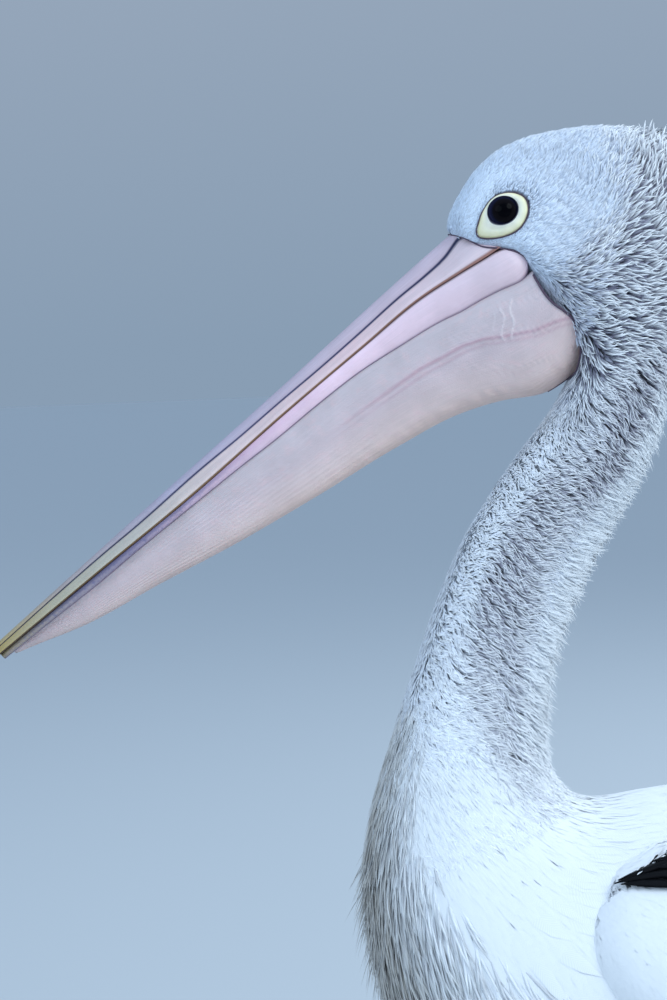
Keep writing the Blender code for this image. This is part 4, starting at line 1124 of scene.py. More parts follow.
def loft(name, rings, material, marks=None, replaces=(), mirror=False):
    """A closed tube through rings of points, with its ends filled."""
    rows, around = rings.shape[:2]
    coords = np.concatenate([rings.reshape(-1, 3), rings[:1].mean(1), rings[-1:].mean(1)])
    first = np.arange(rows - 1)[:, None] * around + np.arange(around)
    second = np.arange(rows - 1)[:, None] * around + (np.arange(around) + 1) % around
    faces = np.stack([first, second, second + around, first + around], -1).reshape(-1, 4).tolist()
    pairs = [(k, (k + 1) % around) for k in range(around)]
    last, start, end = (rows - 1) * around, rows * around, rows * around + 1
    faces += [(start, b, a) for a, b in pairs] + [(end, last + a, last + b) for a, b in pairs]
    if marks is not None:
        marks = np.concatenate([marks.reshape(-1, 4), marks[:1].mean(1), marks[-1:].mean(1)])
    closed_piece(name, coords, faces, material, marks, replaces, mirror)


# The solid core that the quills are set in, thickest at the root.
core = np.stack(np.meshgrid(np.linspace(0.02, 0.88, 12), np.linspace(-0.97, 0.97, 24), indexing="ij"), -1)
top = tail_at(core[..., 0] * (1 - 0.15 * core[..., 1] ** 2), core[..., 1])
drop = np.array((0, -math.sin(TAIL_DROP), -math.cos(TAIL_DROP)))
thick = 0.011 * (1 - core[..., :1]) * (1 - core[..., 1:] ** 2) + 0.0014
loft("tail_core", np.concatenate([top, (top + drop * thick)[:, ::-1]], 1), black_feather, None,
     ["tail"])

places = np.linspace(-0.93, 0.93, TAIL_QUILLS)
reach = (TAIL_LENGTH - 0.022 * places**2) / TAIL_LENGTH
t = np.tile(QUILL_SHARES, (TAIL_QUILLS, 1))
points, normal, sideways = trace(tail_at, np.maximum(t * reach[:, None], 0.02), places[:, None] + 0 * t)
normal = normal * np.sign(normal[..., 2:3])
lift = (0.0046 * (1 - np.abs(places)) - 0.001)[:, None] + 0 * t
quills("tail_quills", (points, normal, sideways), lift, 0.0105 * QUILL_WIDTHS + 0 * t, 0.0016,
       np.stack([0.5 + 0.45 * places, np.full(TAIL_QUILLS, 0.9)], -1), black_feather)

# White coverts reach from the rump over the roots of the quills.
side = np.linspace(-1, 1, TAIL_COVERTS)
t = np.tile(QUILL_SHARES, (TAIL_COVERTS, 1))
start = body_at(np.full(TAIL_COVERTS, 28.3), side * 1.25)[:, None]
end = tail_at(0.44 - 0.10 * side**2 + 0.035 * np.sin(np.arange(TAIL_COVERTS) * 2.7), side * 0.94)[:, None]
points = start + (end - start) * t[..., None] + np.array((0, 0, 0.015)) * np.sin(math.pi * t[..., None])
way = np.gradient(points, axis=1)
way /= np.linalg.norm(way, axis=-1, keepdims=True)
normal = np.cross((1.0, 0.0, 0.0), way) + side[:, None, None] * np.array((0.5, 0, 0))
normal /= np.linalg.norm(normal, axis=-1, keepdims=True)
lift = (0.0015 * (1 - side**2))[:, None] - 0.011 + 0.013 * soft_step(t, 0.05, 0.50)
quills("tail_coverts", (points, normal, np.cross(way, normal)), lift, 0.0125 * QUILL_WIDTHS + 0 * t, 0.0025,
       np.stack([0.5 + 0.45 * side, np.full(TAIL_COVERTS, 0.75)], -1), contour_feather)
# ============================================================ bill
# Upper bill: a horn blade with a rounded ridge, a dark groove along each side of it and a brown cutting
# edge. It ends in a hooked, golden nail.

BILL_ROOT = (-0.169, 0.823)     # Y and Z of the bill's root on its ridge
BILL_LENGTH = 0.432
NAIL_START = 0.398              # where along the bill the nail begins
NAIL_HOOK = 0.0105              # how far it hooks down
MARKED = 0.4                    # the length of bill over which the marks of its pieces run from 0 to 1
# Tables of (place along the bill, value): half width of the ridge, height of the ridge line, half width of
# the blade, and the heights of the groove and of the cutting edge.
RIDGE_HALF = ((-0.03, 0.0090), (0, 0.0085), (0.10, 0.0068), (0.25, 0.0050), (0.40, 0.0046))
BILL_TOP = ((-0.03, -0.001), (0, 0), (0.15, 0.0012), (0.32, 0.0032), (0.40, 0.0036))
BILL_HALF = ((-0.03, 0.0285), (-0.012, 0.0275), (0.04, 0.0215), (0.12, 0.0172), (0.22, 0.0172),
             (0.32, 0.0195), (0.37, 0.0175), (0.40, 0.0125))
GROOVE = ((-0.03, -0.0035), (-0.003, -0.0045), (0.012, -0.0078), (0.03, -0.0082), (0.05, -0.0072),
          (0.083, -0.0070), (0.118, -0.0064), (0.152, -0.0050), (0.187, -0.0040), (0.22, -0.0022),
          (0.274, -0.0014), (0.307, 0.0000), (0.342, 0.0008), (0.40, 0.0012))
TOMIUM = ((-0.03, -0.0278), (-0.012, -0.0262), (0.01, -0.0221), (0.04, -0.0170), (0.09, -0.0148),
          (0.16, -0.0122), (0.23, -0.0112), (0.31, -0.0068), (0.40, -0.0026))


def along_table(table, at):
    """Smooth interpolation in a table of (place, value)."""
    x, y = np.array(table, float).T
    slope = np.gradient(y, x)
    at = np.clip(at, x[0], x[-1])
    i = np.clip(np.searchsorted(x, at, side="right") - 1, 0, len(x) - 2)
    h = x[i + 1] - x[i]
    t = (at - x[i]) / h
    return ((2 * t**3 - 3 * t**2 + 1) * y[i] + (t**3 - 2 * t**2 + t) * h * slope[i]
            + (3 * t**2 - 2 * t**3) * y[i + 1] + (t**3 - t**2) * h * slope[i + 1])


def bill_place(along, above, out):
    """Points in the bill's own frame: along it from its root, above the culmen line, and outward."""
    along, above, out = np.broadcast_arrays(along, above, out)
    fall, level = math.sin(BILL_DROP), math.cos(BILL_DROP)
    return np.stack([out, BILL_ROOT[0] - level * along - fall * above,
                     BILL_ROOT[1] - fall * along + level * above], -1)


def smooth_loop(knots, steps):
    """More points on a smooth closed loop through the knots, (sections, knots, values)."""
    about = [np.roll(knots, shift, 1) for shift in (1, 0, -1, -2)]
    found = [curve(about, k / steps) for k in range(steps)]
    return np.stack(found, 2).reshape(knots.shape[0], -1, knots.shape[2])


def sections(at, knots):
    """Cross-sections along a piece. Each knot is how far out it lies, how high, and its mark, all along."""
    return np.stack([np.stack([x, h, np.full_like(at, u)], -1) for x, h, u in knots], 1)


def both_sides(half):
    """Cross-sections made whole from their right half, which starts and ends on the middle line."""
    return np.concatenate([half, half[:, -2:0:-1] * (-1, 1, 1)], 1)


def round_turns(count):
    """Angles evenly round a full turn."""
    return np.linspace(0, 2 * math.pi, count + 1)[:-1]


def marks_for(along, across, third=0.0, fourth=1.0):
    """Four values for each point of a piece: its place along and across, and two more for its markings."""
    return np.stack(np.broadcast_arrays(along, across, third, fourth), -1)


def side_of(form, y, z, missing):
    """How far out the left side of a form lies at places of Y and Z, or missing where it isn't there."""
    hits = [form.ray_cast(Vector((0.2, b, c)), Vector((-1, 0, 0)))[0] for b, c in zip(y, z)]
    return np.array([hit.x if hit else missing for hit in hits])


OFF, ON = (0, 0, 0), (1, 1, 1)


def ramp(tree, fac, *stops):
    """A colour ramp with its stops, each a place and a colour."""
    made = add_node(tree, "ValToRGB", [(0, fac)])
    while len(made.color_ramp.elements) < len(stops):
        made.color_ramp.elements.new(0.5)
    for element, (place, colour) in zip(made.color_ramp.elements, stops):
        element.position = place
        element.color = rgba(*colour)
    return made.outputs["Color"]


def mask(tree, fac, first, last, start=OFF, end=ON):
    """A mask that runs between two places from one level to another."""
    return ramp(tree, fac, (first, start), (last, end))


# Shader group for all horn and bare skin: fine fibres that run along the piece, cloudy patches, and pores.
grain, given, leave = new_group("living_surface", (
    ("Colour", rgba(0.8, 0.6, 0.6)), ("Fibre", 0.1), ("Cloud", 0.1), ("Pore Size", 900.0),
))
marks = add_node(grain, "Attribute", attribute_name="marks")
stretched = add_node(grain, "VectorMath", [(0, marks.outputs["Vector"]), (1, (14.0, 150.0, 1.0))],
                     operation="MULTIPLY").outputs[0]
fibre = add_node(grain, "TexNoise", [("Vector", stretched), ("Scale", 1.0), ("Detail", 3.0)])
place = add_node(grain, "TexCoord").outputs["Object"]
cloud = add_node(grain, "TexNoise", [("Vector", place), ("Scale", 55.0), ("Detail", 3.0)])
pores = add_node(grain, "TexNoise", [("Vector", place), ("Scale", given["Pore Size"]), ("Detail", 2.0)])
shade = math_node(grain, "MULTIPLY_ADD", math_node(grain, "SUBTRACT", fibre.outputs["Fac"], 0.5),
                  given["Fibre"], 1.0)
shade = math_node(grain, "MULTIPLY_ADD", math_node(grain, "SUBTRACT", cloud.outputs["Fac"], 0.5),
                  given["Cloud"], shade)
tinted = add_node(grain, "VectorMath", [(0, given["Colour"]), (1, shade)], operation="MULTIPLY")
grain.links.new(tinted.outputs[0], leave["Colour"])
grain.links.new(math_node(grain, "ADD", pores.outputs["Fac"], fibre.outputs["Fac"]), leave["Height"])


def living(tree, shader, colour, fibre=0.2, cloud=0.2, pore=900.0, bump=0.0002):
    """Puts the living surface group between a colour and its shader. Returns the group's height."""
    values = (("Colour", colour), ("Fibre", fibre), ("Cloud", cloud), ("Pore Size", pore))
    made = add_node(tree, "Group", values, node_tree=grain)
    tree.links.new(made.outputs["Colour"], shader.inputs["Base Color"])
    if bump:
        add_bump(tree, shader, made.outputs["Height"], bump, 0.7)
    return made.outputs["Height"]


def marks_of(tree):
    """The first three values stored on a piece: its place along and across, and a marking."""
    found = add_node(tree, "Attribute", attribute_name="marks")
    parts = add_node(tree, "SeparateColor", [(0, found.outputs["Color"])]).outputs
    return parts[0], parts[1], parts[2]


horn, tree, shader = principled("bill_horn", 0.42, specular=0.45, coat=0.12, subsurface=0.05,
                                reach=(0.004, 0.0018, 0.0014))
along, across, _ = marks_of(tree)
ridge = ramp(tree, along, (0.0, (0.57, 0.45, 0.53)), (0.25, (0.54, 0.43, 0.51)), (0.62, (0.41, 0.36, 0.47)),
             (0.84, (0.40, 0.33, 0.33)), (1.0, (0.44, 0.33, 0.13)))
plate = ramp(tree, along, (0.0, (0.76, 0.60, 0.64)), (0.25, (0.88, 0.62, 0.63)), (0.50, (0.82, 0.62, 0.60)),
             (0.72, (0.60, 0.53, 0.45)), (0.86, (0.56, 0.49, 0.35)), (1.0, (0.50, 0.35, 0.10)))
groove = ramp(tree, along, (0.0, (0.025, 0.028, 0.085)), (0.4, (0.05, 0.055, 0.14)),
              (1.0, (0.03, 0.04, 0.09)))
tomium = ramp(tree, along, (0.0, (0.35, 0.17, 0.14)), (0.3, (0.26, 0.13, 0.07)), (0.75, (0.14, 0.07, 0.02)),
              (1.0, (0.07, 0.04, 0.02)))
below = mask(tree, across, 0.27, 0.34)
colour = mix_colours(tree, below, ridge, plate)
at_edge = mask(tree, across, 0.69, 0.75)
colour = mix_colours(tree, at_edge, colour, tomium)
in_groove = ramp(tree, across, (0.245, OFF), (0.275, ON), (0.32, ON), (0.36, OFF))
colour = mix_colours(tree, in_groove, colour, groove)
living(tree, shader, colour, fibre=0.55, cloud=0.22, pore=700.0, bump=0.00025)

at = np.concatenate([np.linspace(-0.030, 0.012, 40)[:-1], np.linspace(0.012, NAIL_START + 0.002, 84)])
tables = (BILL_TOP, RIDGE_HALF, BILL_HALF, TOMIUM, GROOVE)
top, ridge, half, edge, groove = (along_table(table, at) for table in tables)
groove = np.clip(groove, edge + 0.3 * (top - edge), top - 0.18 * (top - edge))
zero, side = np.zeros_like(at), groove - edge
# One half of the section from the ridge down to the cutting edge and in to the middle.
knots = (
    (zero, top, 0.0), (ridge * 0.50, top - ridge * 0.10, 0.08), (ridge * 0.86, top * 0.55 + groove * 0.45,
    0.16), (ridge * 1.00, top * 0.12 + groove * 0.88, 0.24), (ridge * 0.97, groove - side * 0.05, 0.29),
    (ridge * 1.04, groove - side * 0.12, 0.34), (ridge + (half - ridge) * 0.42, edge + side * 0.58, 0.46),
    (ridge + (half - ridge) * 0.80, edge + side * 0.34, 0.58), (half * 0.99, edge + side * 0.14, 0.68),
    (half, edge + side * 0.03, 0.76), (half * 0.95, edge - 0.0006, 0.82), (half * 0.5, edge + 0.0004, 0.91),
    (zero, edge + 0.0008, 1.0),
)
profile = smooth_loop(both_sides(sections(at, knots)), 4)

# A plain form of the head and neck, to lay the bare parts against.
form = bmesh.new()
rows, turns = np.meshgrid(np.linspace(0, 12, 120), np.linspace(0, math.pi, 60), indexing="ij")
grid = [[form.verts.new(p) for p in line] for line in body_at(rows, turns)]
for first, second in zip(grid, grid[1:]):
    for k in range(len(first) - 1):
        form.faces.new((first[k], first[k + 1], second[k + 1], second[k]))
head_form = BVHTree.FromBMesh(form)


TUCK_DEPTH = 0.0024             # how far under the coat's outline a bare piece ends up
TUCK_RUN = (0.0006, 0.0018)     # how far behind the border that begins, and over what length it is reached


def tuck(at, profile, drop=0.0):
    """Draws a bare piece in under the coat behind the feathers' border, so that the feathers close on it."""
    place = bill_place(at[:, None], profile[..., 1], np.abs(profile[..., 0]))
    behind = -bare_side(place[..., 1], place[..., 2])
    covered = np.nonzero((behind > 0) & (behind < 0.5) & (place[..., 0] > 0.004))
    out, y, z = place[covered].T
    inside = side_of(head_form, y, z, 0.012) - TUCK_DEPTH
    share = np.clip((behind[covered] - TUCK_RUN[0]) / TUCK_RUN[1], 0, 1)
    drawn_in = out + np.minimum(inside - out, 0) * share
    profile[..., 0][covered] = np.copysign(drawn_in, profile[..., 0][covered])
    profile[..., 1] -= drop * soft_step(behind, 0.0, 0.010) * (behind < 0.5)


tuck(at, profile, 0.004)
rings = bill_place(at[:, None], profile[..., 1], profile[..., 0])
marks = marks_for(at[:, None] / MARKED, profile[..., 2], np.abs(profile[..., 0]) * 20)
loft("upper_bill", rings, horn, marks, ["bill_upper"])

gold, tree, shader = principled("golden_nail", 0.36, specular=0.5, coat=0.2)
colour = ramp(tree, marks_of(tree)[0], (0.0, (0.36, 0.27, 0.07)), (0.4, (0.55, 0.34, 0.05)),
              (1.0, (0.62, 0.30, 0.05)))
living(tree, shader, colour, fibre=0.35, cloud=0.3, pore=800.0)
share = np.linspace(0, 1, 26)
at = NAIL_START + (BILL_LENGTH - NAIL_START) * (1 - (1 - share) ** 1.4)
half = along_table(BILL_HALF, NAIL_START) * np.sqrt(np.maximum(1 - share**2.4, 0.02))
top = along_table(BILL_TOP, NAIL_START) - (NAIL_HOOK + 0.001) * share**2.6 + 0.0004
low = np.minimum(along_table(TOMIUM, NAIL_START) - NAIL_HOOK * share**1.3, top - 0.0024)
turn = round_turns(40)
crown = 1 + 0.22 * np.exp(-((np.minimum(turn, 2 * math.pi - turn) / 0.45) ** 2)) * (1 - share[:, None])
above = ((top + low) / 2)[:, None] + ((top - low) / 2)[:, None] * np.cos(turn) * crown
rings = bill_place(at[:, None], above, half[:, None] * np.sin(turn))
marks = marks_for(share[:, None], turn / 6.3)
loft("bill_hook", rings, gold, marks, ["bill_nail"])

# ============================================================ lower jaw
# Two springy bars of horn under the upper bill, one on each side. They are pink and full at the face, lilac
# along the middle, and dark blue towards the tip.

RAMUS_REAR = -0.026             # where along the bill the bars end at the rear
RAMUS_ROUND = 0.016             # the length over which that end is rounded
# Tables of (place along the bill, value): the bars' lower edge, and how far out they reach.
RAMUS_LOW = ((-0.026, -0.0548), (-0.014, -0.0535), (0, -0.0488), (0.013, -0.0451), (0.028, -0.0418),
             (0.041, -0.0378), (0.071, -0.0315), (0.10, -0.0262), (0.134, -0.0233), (0.168, -0.0217),
             (0.20, -0.0190), (0.234, -0.0168), (0.284, -0.0139), (0.318, -0.0125), (0.353, -0.0100),
             (0.40, -0.0072))
RAMUS_HALF = ((-0.026, 0.0310), (0, 0.0300), (0.04, 0.0255), (0.12, 0.0186), (0.22, 0.0172), (0.32, 0.0188),
              (0.37, 0.0165), (0.40, 0.0105))

bar, tree, shader = principled("jaw_bar", 0.40, specular=0.45, coat=0.12, subsurface=0.06,
                               reach=(0.005, 0.002, 0.0016))
along, across, _ = marks_of(tree)
upper = ramp(tree, along, (0.0, (0.72, 0.56, 0.62)), (0.28, (0.94, 0.66, 0.76)), (0.46, (0.68, 0.44, 0.56)),
             (0.58, (0.27, 0.21, 0.33)), (0.74, (0.13, 0.11, 0.21)), (0.90, (0.09, 0.08, 0.13)),
             (1.0, (0.22, 0.16, 0.06)))
lower = ramp(tree, along, (0.0, (0.74, 0.56, 0.61)), (0.30, (0.94, 0.66, 0.75)), (0.56, (0.62, 0.43, 0.53)),
             (0.72, (0.30, 0.24, 0.33)), (0.86, (0.34, 0.28, 0.31)), (1.0, (0.36, 0.28, 0.18)))
blotch = add_node(tree, "TexNoise", [("Scale", 95.0), ("Detail", 5.0), ("Roughness", 0.65)])
far = mask(tree, along, 0.48, 0.66)
spots = mask(tree, blotch.outputs["Fac"], 0.50, 0.62)
spots = times(tree, far, times(tree, spots, 0.6))
lower = mix_colours(tree, spots, lower, rgba(0.12, 0.12, 0.26))
colour = mix_colours(tree, mask(tree, across, 0.42, 0.66), lower, upper)
seam = mask(tree, across, 0.80, 0.86)
colour = mix_colours(tree, seam, colour, rgba(0.16, 0.09, 0.10))
foot_line = mask(tree, across, 0.10, 0.17, ON, OFF)
colour = mix_colours(tree, foot_line, colour, rgba(0.22, 0.15, 0.22))
living(tree, shader, colour, fibre=0.40, cloud=0.28, pore=650.0, bump=0.00022)

at = RAMUS_REAR + RAMUS_ROUND * (1 - np.cos(np.linspace(0, math.pi / 2, 14)))
at = np.concatenate([at, np.linspace(-0.007, 0.397, 92)])
high, low, out = along_table(TOMIUM, at) - 0.0006, along_table(RAMUS_LOW, at), along_table(RAMUS_HALF, at)
wall = np.minimum(0.0190, (high - low) * 0.80)
inner = np.maximum(out - wall, 0.0006)
rear = np.sqrt(np.clip(1 - (1 - np.clip((at - RAMUS_REAR) / RAMUS_ROUND, 0, 1)) ** 2, 0.03, 1))
middle = (high + low) / 2
high, low = middle + (high - middle) * rear, middle + (low - middle) * rear
out = inner + (out - inner) * (0.55 + 0.45 * rear)
outline = ((0.0, 0.0, 0.0), (0.60, -0.01, 0.05), (0.84, 0.06, 0.13), (0.96, 0.22, 0.26), (1.0, 0.44, 0.44),
           (0.985, 0.66, 0.60), (0.93, 0.84, 0.73), (0.84, 0.96, 0.83), (0.66, 1.0, 0.90), (0.0, 1.0, 1.0))
knots = [(inner + (out - inner) * x, low + (high - low) * h, u) for x, h, u in outline]
profile = smooth_loop(sections(at, knots), 4)
rings = bill_place(at[:, None], profile[..., 1], profile[..., 0])
marks = marks_for(at[:, None] / MARKED, profile[..., 2])
for mirror, end in SIDES:
    loft(f"jaw_bar_{end}", rings, bar, marks, [f"bill_lower_{end}"], mirror)

# ============================================================ pouch
# A bag of thin bare skin hung between the two bars of the jaw. It is greyish pink, with soft folds along it,
# a pale vein on each side, crinkles by the face, and a dark line of skin where the feathers begin.

# Tables of (place along the bill, value): the pouch's lower line, its half width, and the height of the vein.
POUCH_LOW = ((-0.030, -0.1080), (0, -0.1205), (0.022, -0.1170), (0.047, -0.1015), (0.072, -0.0900),
             (0.114, -0.0790), (0.175, -0.0672), (0.233, -0.0548), (0.290, -0.0402), (0.349, -0.0255),
             (0.374, -0.0160), (0.396, -0.0080))
POUCH_HALF = ((-0.030, 0.0315), (0, 0.0310), (0.047, 0.0245), (0.12, 0.0170), (0.25, 0.0140), (0.396, 0.0090))
VEIN = ((-0.020, -0.0900), (-0.011, -0.0856), (0.002, -0.0810), (0.019, -0.0704), (0.030, -0.0628),
        (0.042, -0.0575), (0.056, -0.0544), (0.070, -0.0506), (0.087, -0.0484), (0.118, -0.0446),
        (0.16, -0.040))

pouch_skin, tree, shader = principled("pouch_skin", 0.52, specular=0.4, sheen=0.08, subsurface=0.10,
                                      reach=(0.006, 0.0022, 0.0018))
along, down, vein = marks_of(tree)
colour = ramp(tree, down, (0.0, (0.59, 0.50, 0.53)), (0.45, (0.66, 0.52, 0.54)), (0.8, (0.75, 0.57, 0.54)),
              (1.0, (0.76, 0.54, 0.46)))
colour = mix_colours(tree, times(tree, vein, 0.7), colour, rgba(0.50, 0.27, 0.33))
crease = add_node(tree, "Attribute", attribute_name="marks").outputs["Alpha"]
colour = mix_colours(tree, times(tree, crease, 0.55), colour, rgba(0.93, 0.82, 0.82))
blood = add_node(tree, "TexNoise", [("Scale", 38.0), ("Detail", 4.0), ("Roughness", 0.6)])
flush = mask(tree, blood.outputs["Fac"], 0.52, 0.72)
colour = mix_colours(tree, times(tree, flush, 0.35), colour, rgba(0.78, 0.52, 0.53))
stripe = math_node(tree, "SINE", times(tree, down, 230.0))
stripe = mask(tree, stripe, 0.55, 1.0)
upper_part = mask(tree, down, 0.0, 0.55, ON, OFF)
stripe = times(tree, times(tree, stripe, upper_part), 0.5)
stripe = times(tree, stripe, mask(tree, along, 0.40, 0.60))
colour = mix_colours(tree, stripe, colour, rgba(0.33, 0.28, 0.30))
far = mask(tree, along, 0.45, 0.95)
colour = mix_colours(tree, times(tree, far, 0.35), colour, rgba(0.70, 0.54, 0.53))
living(tree, shader, colour, fibre=0.30, cloud=0.30, pore=1100.0, bump=0.0003)

at = np.concatenate([np.linspace(-0.026, 0.08, 130)[:-1], np.linspace(0.08, 0.390, 150)])
top, low = along_table(RAMUS_LOW, at) + 0.0015, along_table(POUCH_LOW, at)
wide, out = along_table(POUCH_HALF, at), along_table(RAMUS_HALF, at) - 0.0022
keel = 0.0038
knots = ((np.zeros_like(at), 1.0), (out * 0.9, 1.0), (wide * 0.985, 0.80), (wide * 0.93, 0.58),
         (wide * 0.78, 0.34), (wide * 0.52 + keel * 0.2, 0.145), (wide * 0.22 + keel * 0.5, 0.045),
         (np.zeros_like(at), 0.0))
profile = smooth_loop(both_sides(sections(at, [(x, low + (top - low) * u, 1 - u) for x, u in knots])), 13)
down = profile[..., 2]
length = at[:, None]
near, far = np.exp(-((length + 0.01) / 0.055) ** 2), soft_step(length, 0.05, 0.25)
face_side = soft_step(down, 0.05, 0.2) * (1 - soft_step(down, 0.93, 1.0))
fold = 0.00017 * far * np.sin(down * 96 + 3 * np.sin(length * 21))
fold *= 0.6 + 0.4 * np.sin(length * 47 + down * 9)
sway = 5 * np.sin(down * 21) + 2.2 * np.sin(length * 260 + down * 40)
crinkle = 0.00020 * near * np.sin(length * 1350 + sway)
crinkle *= np.clip(np.sin(down * 17 + length * 90) + 0.35, 0, 1)
cross_line = 0.00035 * near * np.abs(np.sin(down * 95 + 4 * np.sin(length * 140) + length * 160)) ** 3
keel_fold = 0.00035 * np.exp(-((down - 0.90) / 0.07) ** 2) * np.sin(length * 520 + 2 * np.sin(length * 130))
relief = (fold + crinkle + cross_line) * face_side + keel_fold * (1 - soft_step(length, 0.10, 0.2))
vein_at = np.array(VEIN)
vein_down = (top[:, None] - np.interp(length, vein_at[:, 0], vein_at[:, 1])) / (top - low)[:, None]
off = (down - vein_down) * (top - low)[:, None]
vein = np.exp(-((off / 0.0013) ** 2)) + 0.6 * np.exp(-(((off - 0.0042) / 0.0010) ** 2))
vein *= 1 - soft_step(length, 0.07, 0.16)
relief += 0.00045 * vein * face_side
creases = np.zeros_like(down)
for start, sway, first, last, power in ((0.0060, 0.0011, 0.10, 0.46, 1.0), (0.0125, 0.0013, 0.12, 0.44, 0.9),
                                        (0.0185, 0.0009, 0.14, 0.32, 0.4)):
    bend_at = start + sway * np.sin(down * 30 + start * 300) + 0.050 * (down - 0.25)
    reach = soft_step(down, first, first + 0.05) * (1 - soft_step(down, last - 0.06, last))
    creases += power * np.exp(-(((length - bend_at) / 0.00055) ** 2)) * reach
relief += 0.00055 * creases
profile[..., 0] += np.sign(profile[..., 0]) * relief
tuck(at, profile)
rings = bill_place(at[:, None], profile[..., 1], profile[..., 0])
marks = marks_for(length / MARKED, down, np.clip(vein, 0, 1), np.clip(creases, 0, 1))
loft("throat_pouch", rings, pouch_skin, marks, ["pouch"])

# The dark line of bare skin at the edge of the feathers.
line_skin, tree, shader = principled("dark_skin_line", 0.5, specular=0.4)
living(tree, shader, rgba(0.085, 0.05, 0.085), fibre=0.2, cloud=0.4)
for piece in ("upper_bill", "jaw_bar_left", "throat_pouch"):
    form.from_mesh(bpy.data.objects[piece].data)
covered = BVHTree.FromBMesh(form)
form.free()


def border_path(line, count, out):
    """A smooth path of Y and Z points, laid on whatever lies outermost there on the left side."""
    steps = np.concatenate([[0], np.cumsum(np.hypot(*np.diff(line, axis=0).T))])
    fine = np.linspace(0, steps[-1], count)
    y, z = (along_table(np.stack([steps, line[:, k]], -1), fine) for k in range(2))
    x = side_of(covered, y, z, 0.0005) + out
    x = np.convolve(np.pad(x, 2, "edge"), np.ones(5) / 5, "valid")
    return np.stack([x, y, z], -1)


CORD_AROUND = 10


def cord_rings(path, radius):
    """Rings round a path, and their marks; radius is a number for each point."""
    way = unit_of(np.gradient(path, axis=0))
    side = unit_of(np.cross(way, (1.0, 0.0, 0.0)))[:, None]
    up = np.cross(side, way[:, None])
    turn = round_turns(CORD_AROUND)[:, None]
    marks = marks_for(np.linspace(0, 1, len(path))[:, None], np.linspace(0, 1, CORD_AROUND))
    return path[:, None] + (side * np.cos(turn) + up * np.sin(turn)) * radius[:, None, None], marks


path = border_path(FACE_LINE, 150, 0.0005)
rings, marks = cord_rings(path, 0.00072 * np.sin(np.linspace(0.15, math.pi - 0.1, len(path))) ** 0.4)
for mirror, end in SIDES:
    loft(f"skin_line_{end}", rings, line_skin, marks, (), mirror)
# ============================================================ eyes
# Dark wet eyeballs, each in a broad soft ring of bare yellow skin. The ring is widest towards the bill, thin
# above, and lies a little proud of the feathers, with a dark rim inside and out.

EYE_RADIUS = 0.0116
EYE_OUT = 0.0237                # how far out from the middle of the head the eyeball's middle lies

eye_gloss, tree, shader = principled("wet_eye", 0.07, specular=0.025)
colour = ramp(tree, marks_of(tree)[0], (0.0, (0.001, 0.001, 0.002)), (0.44, (0.001, 0.001, 0.002)),
              (0.50, (0.004, 0.003, 0.004)), (0.76, (0.006, 0.005, 0.007)), (0.88, (0.009, 0.010, 0.030)),
              (1.0, (0.02, 0.02, 0.05)))
fleck = add_node(tree, "TexNoise", [("Scale", 2200.0), ("Detail", 2.0)])
colour = mix_colours(tree, times(tree, fleck.outputs["Fac"], 0.2), colour, rgba(0.004, 0.004, 0.006))
tree.links.new(colour, shader.inputs["Base Color"])

lid_skin, tree, shader = principled("yellow_eye_ring", 0.38, coat=0.15, subsurface=0.08,
    reach=(0.003, 0.002, 0.001))
colour = ramp(tree, marks_of(tree)[1], (0.0, (0.02, 0.02, 0.05)), (0.09, (0.03, 0.03, 0.06)),
              (0.15, (0.88, 0.84, 0.72)), (0.45, (0.96, 0.90, 0.69)), (0.80, (0.94, 0.87, 0.56)),
              (0.92, (0.74, 0.66, 0.38)), (0.97, (0.05, 0.04, 0.07)), (1.0, (0.05, 0.04, 0.07)))
living(tree, shader, colour, fibre=0.12, cloud=0.30, pore=1300.0, bump=0.0002)

# The opening is a tilted oval: half its length and height, its tilt, and its middle from that of the eye.
disc_half = np.array((0.0094, 0.0085))
disc_tilt = math.radians(24)
disc_at = np.array((-0.0010, 0.0005))
turn = round_turns(72)
tilted = np.array(((math.cos(disc_tilt), math.sin(disc_tilt)), (-math.sin(disc_tilt), math.cos(disc_tilt))))
way = (tilted @ np.stack([np.cos(turn), np.sin(turn)])).T / disc_half
middle = tilted @ disc_at / disc_half
square, cross = (way**2).sum(-1), way @ middle
inner = (cross + np.sqrt(cross**2 - square * ((middle**2).sum() - 1))) / square
outer = along_table(np.stack([RING_TURNS, RING_OUT], -1), turn)
shares = np.array((0.0, 0.04, 0.10, 0.18, 0.32, 0.50, 0.68, 0.82, 0.92, 1.0))
proud = np.array((-0.0012, 0.0003, 0.0010, 0.0013, 0.0015, 0.0017, 0.0015, 0.0010, 0.0003, -0.0012))
ring_rows, row_marks = [], []
for share, stand in zip(shares, proud):
    reach = inner + (outer - inner) * share
    y, z = EYE[1] + reach * np.cos(turn), EYE[2] + reach * np.sin(turn)
    x = side_of(head_form, y, z, 0.02)
    lip = np.sqrt(EYE_RADIUS**2 - inner**2) + EYE_OUT + 0.0004
    x = x * min(1, share * 3) + lip * (1 - min(1, share * 3))
    x = np.maximum(x, EYE_OUT + np.sqrt(np.maximum(EYE_RADIUS**2 - reach**2, 0)) - 0.0006)
    crease = 0.0004 * np.sin(turn * 9 + 3) * math.sin(math.pi * share)
    ring_rows.append(np.stack([x + stand + crease * (outer - inner) / 0.012, y, z], -1))
    row_marks.append(share)
for share, back in ((1.0, 0.007), (0.5, 0.009), (0.0, 0.007)):
    reach = inner + (outer - inner) * share
    ring_rows.append(np.stack([np.full_like(turn, 0.0262 - back + 0.004), EYE[1] + reach * np.cos(turn),
                               EYE[2] + reach * np.sin(turn)], -1))
    row_marks.append(share)
rings = np.stack(ring_rows, 1)
rings = np.concatenate([rings, rings[:1]])
marks = marks_for(np.linspace(0, 1, len(rings))[:, None], np.array(row_marks))


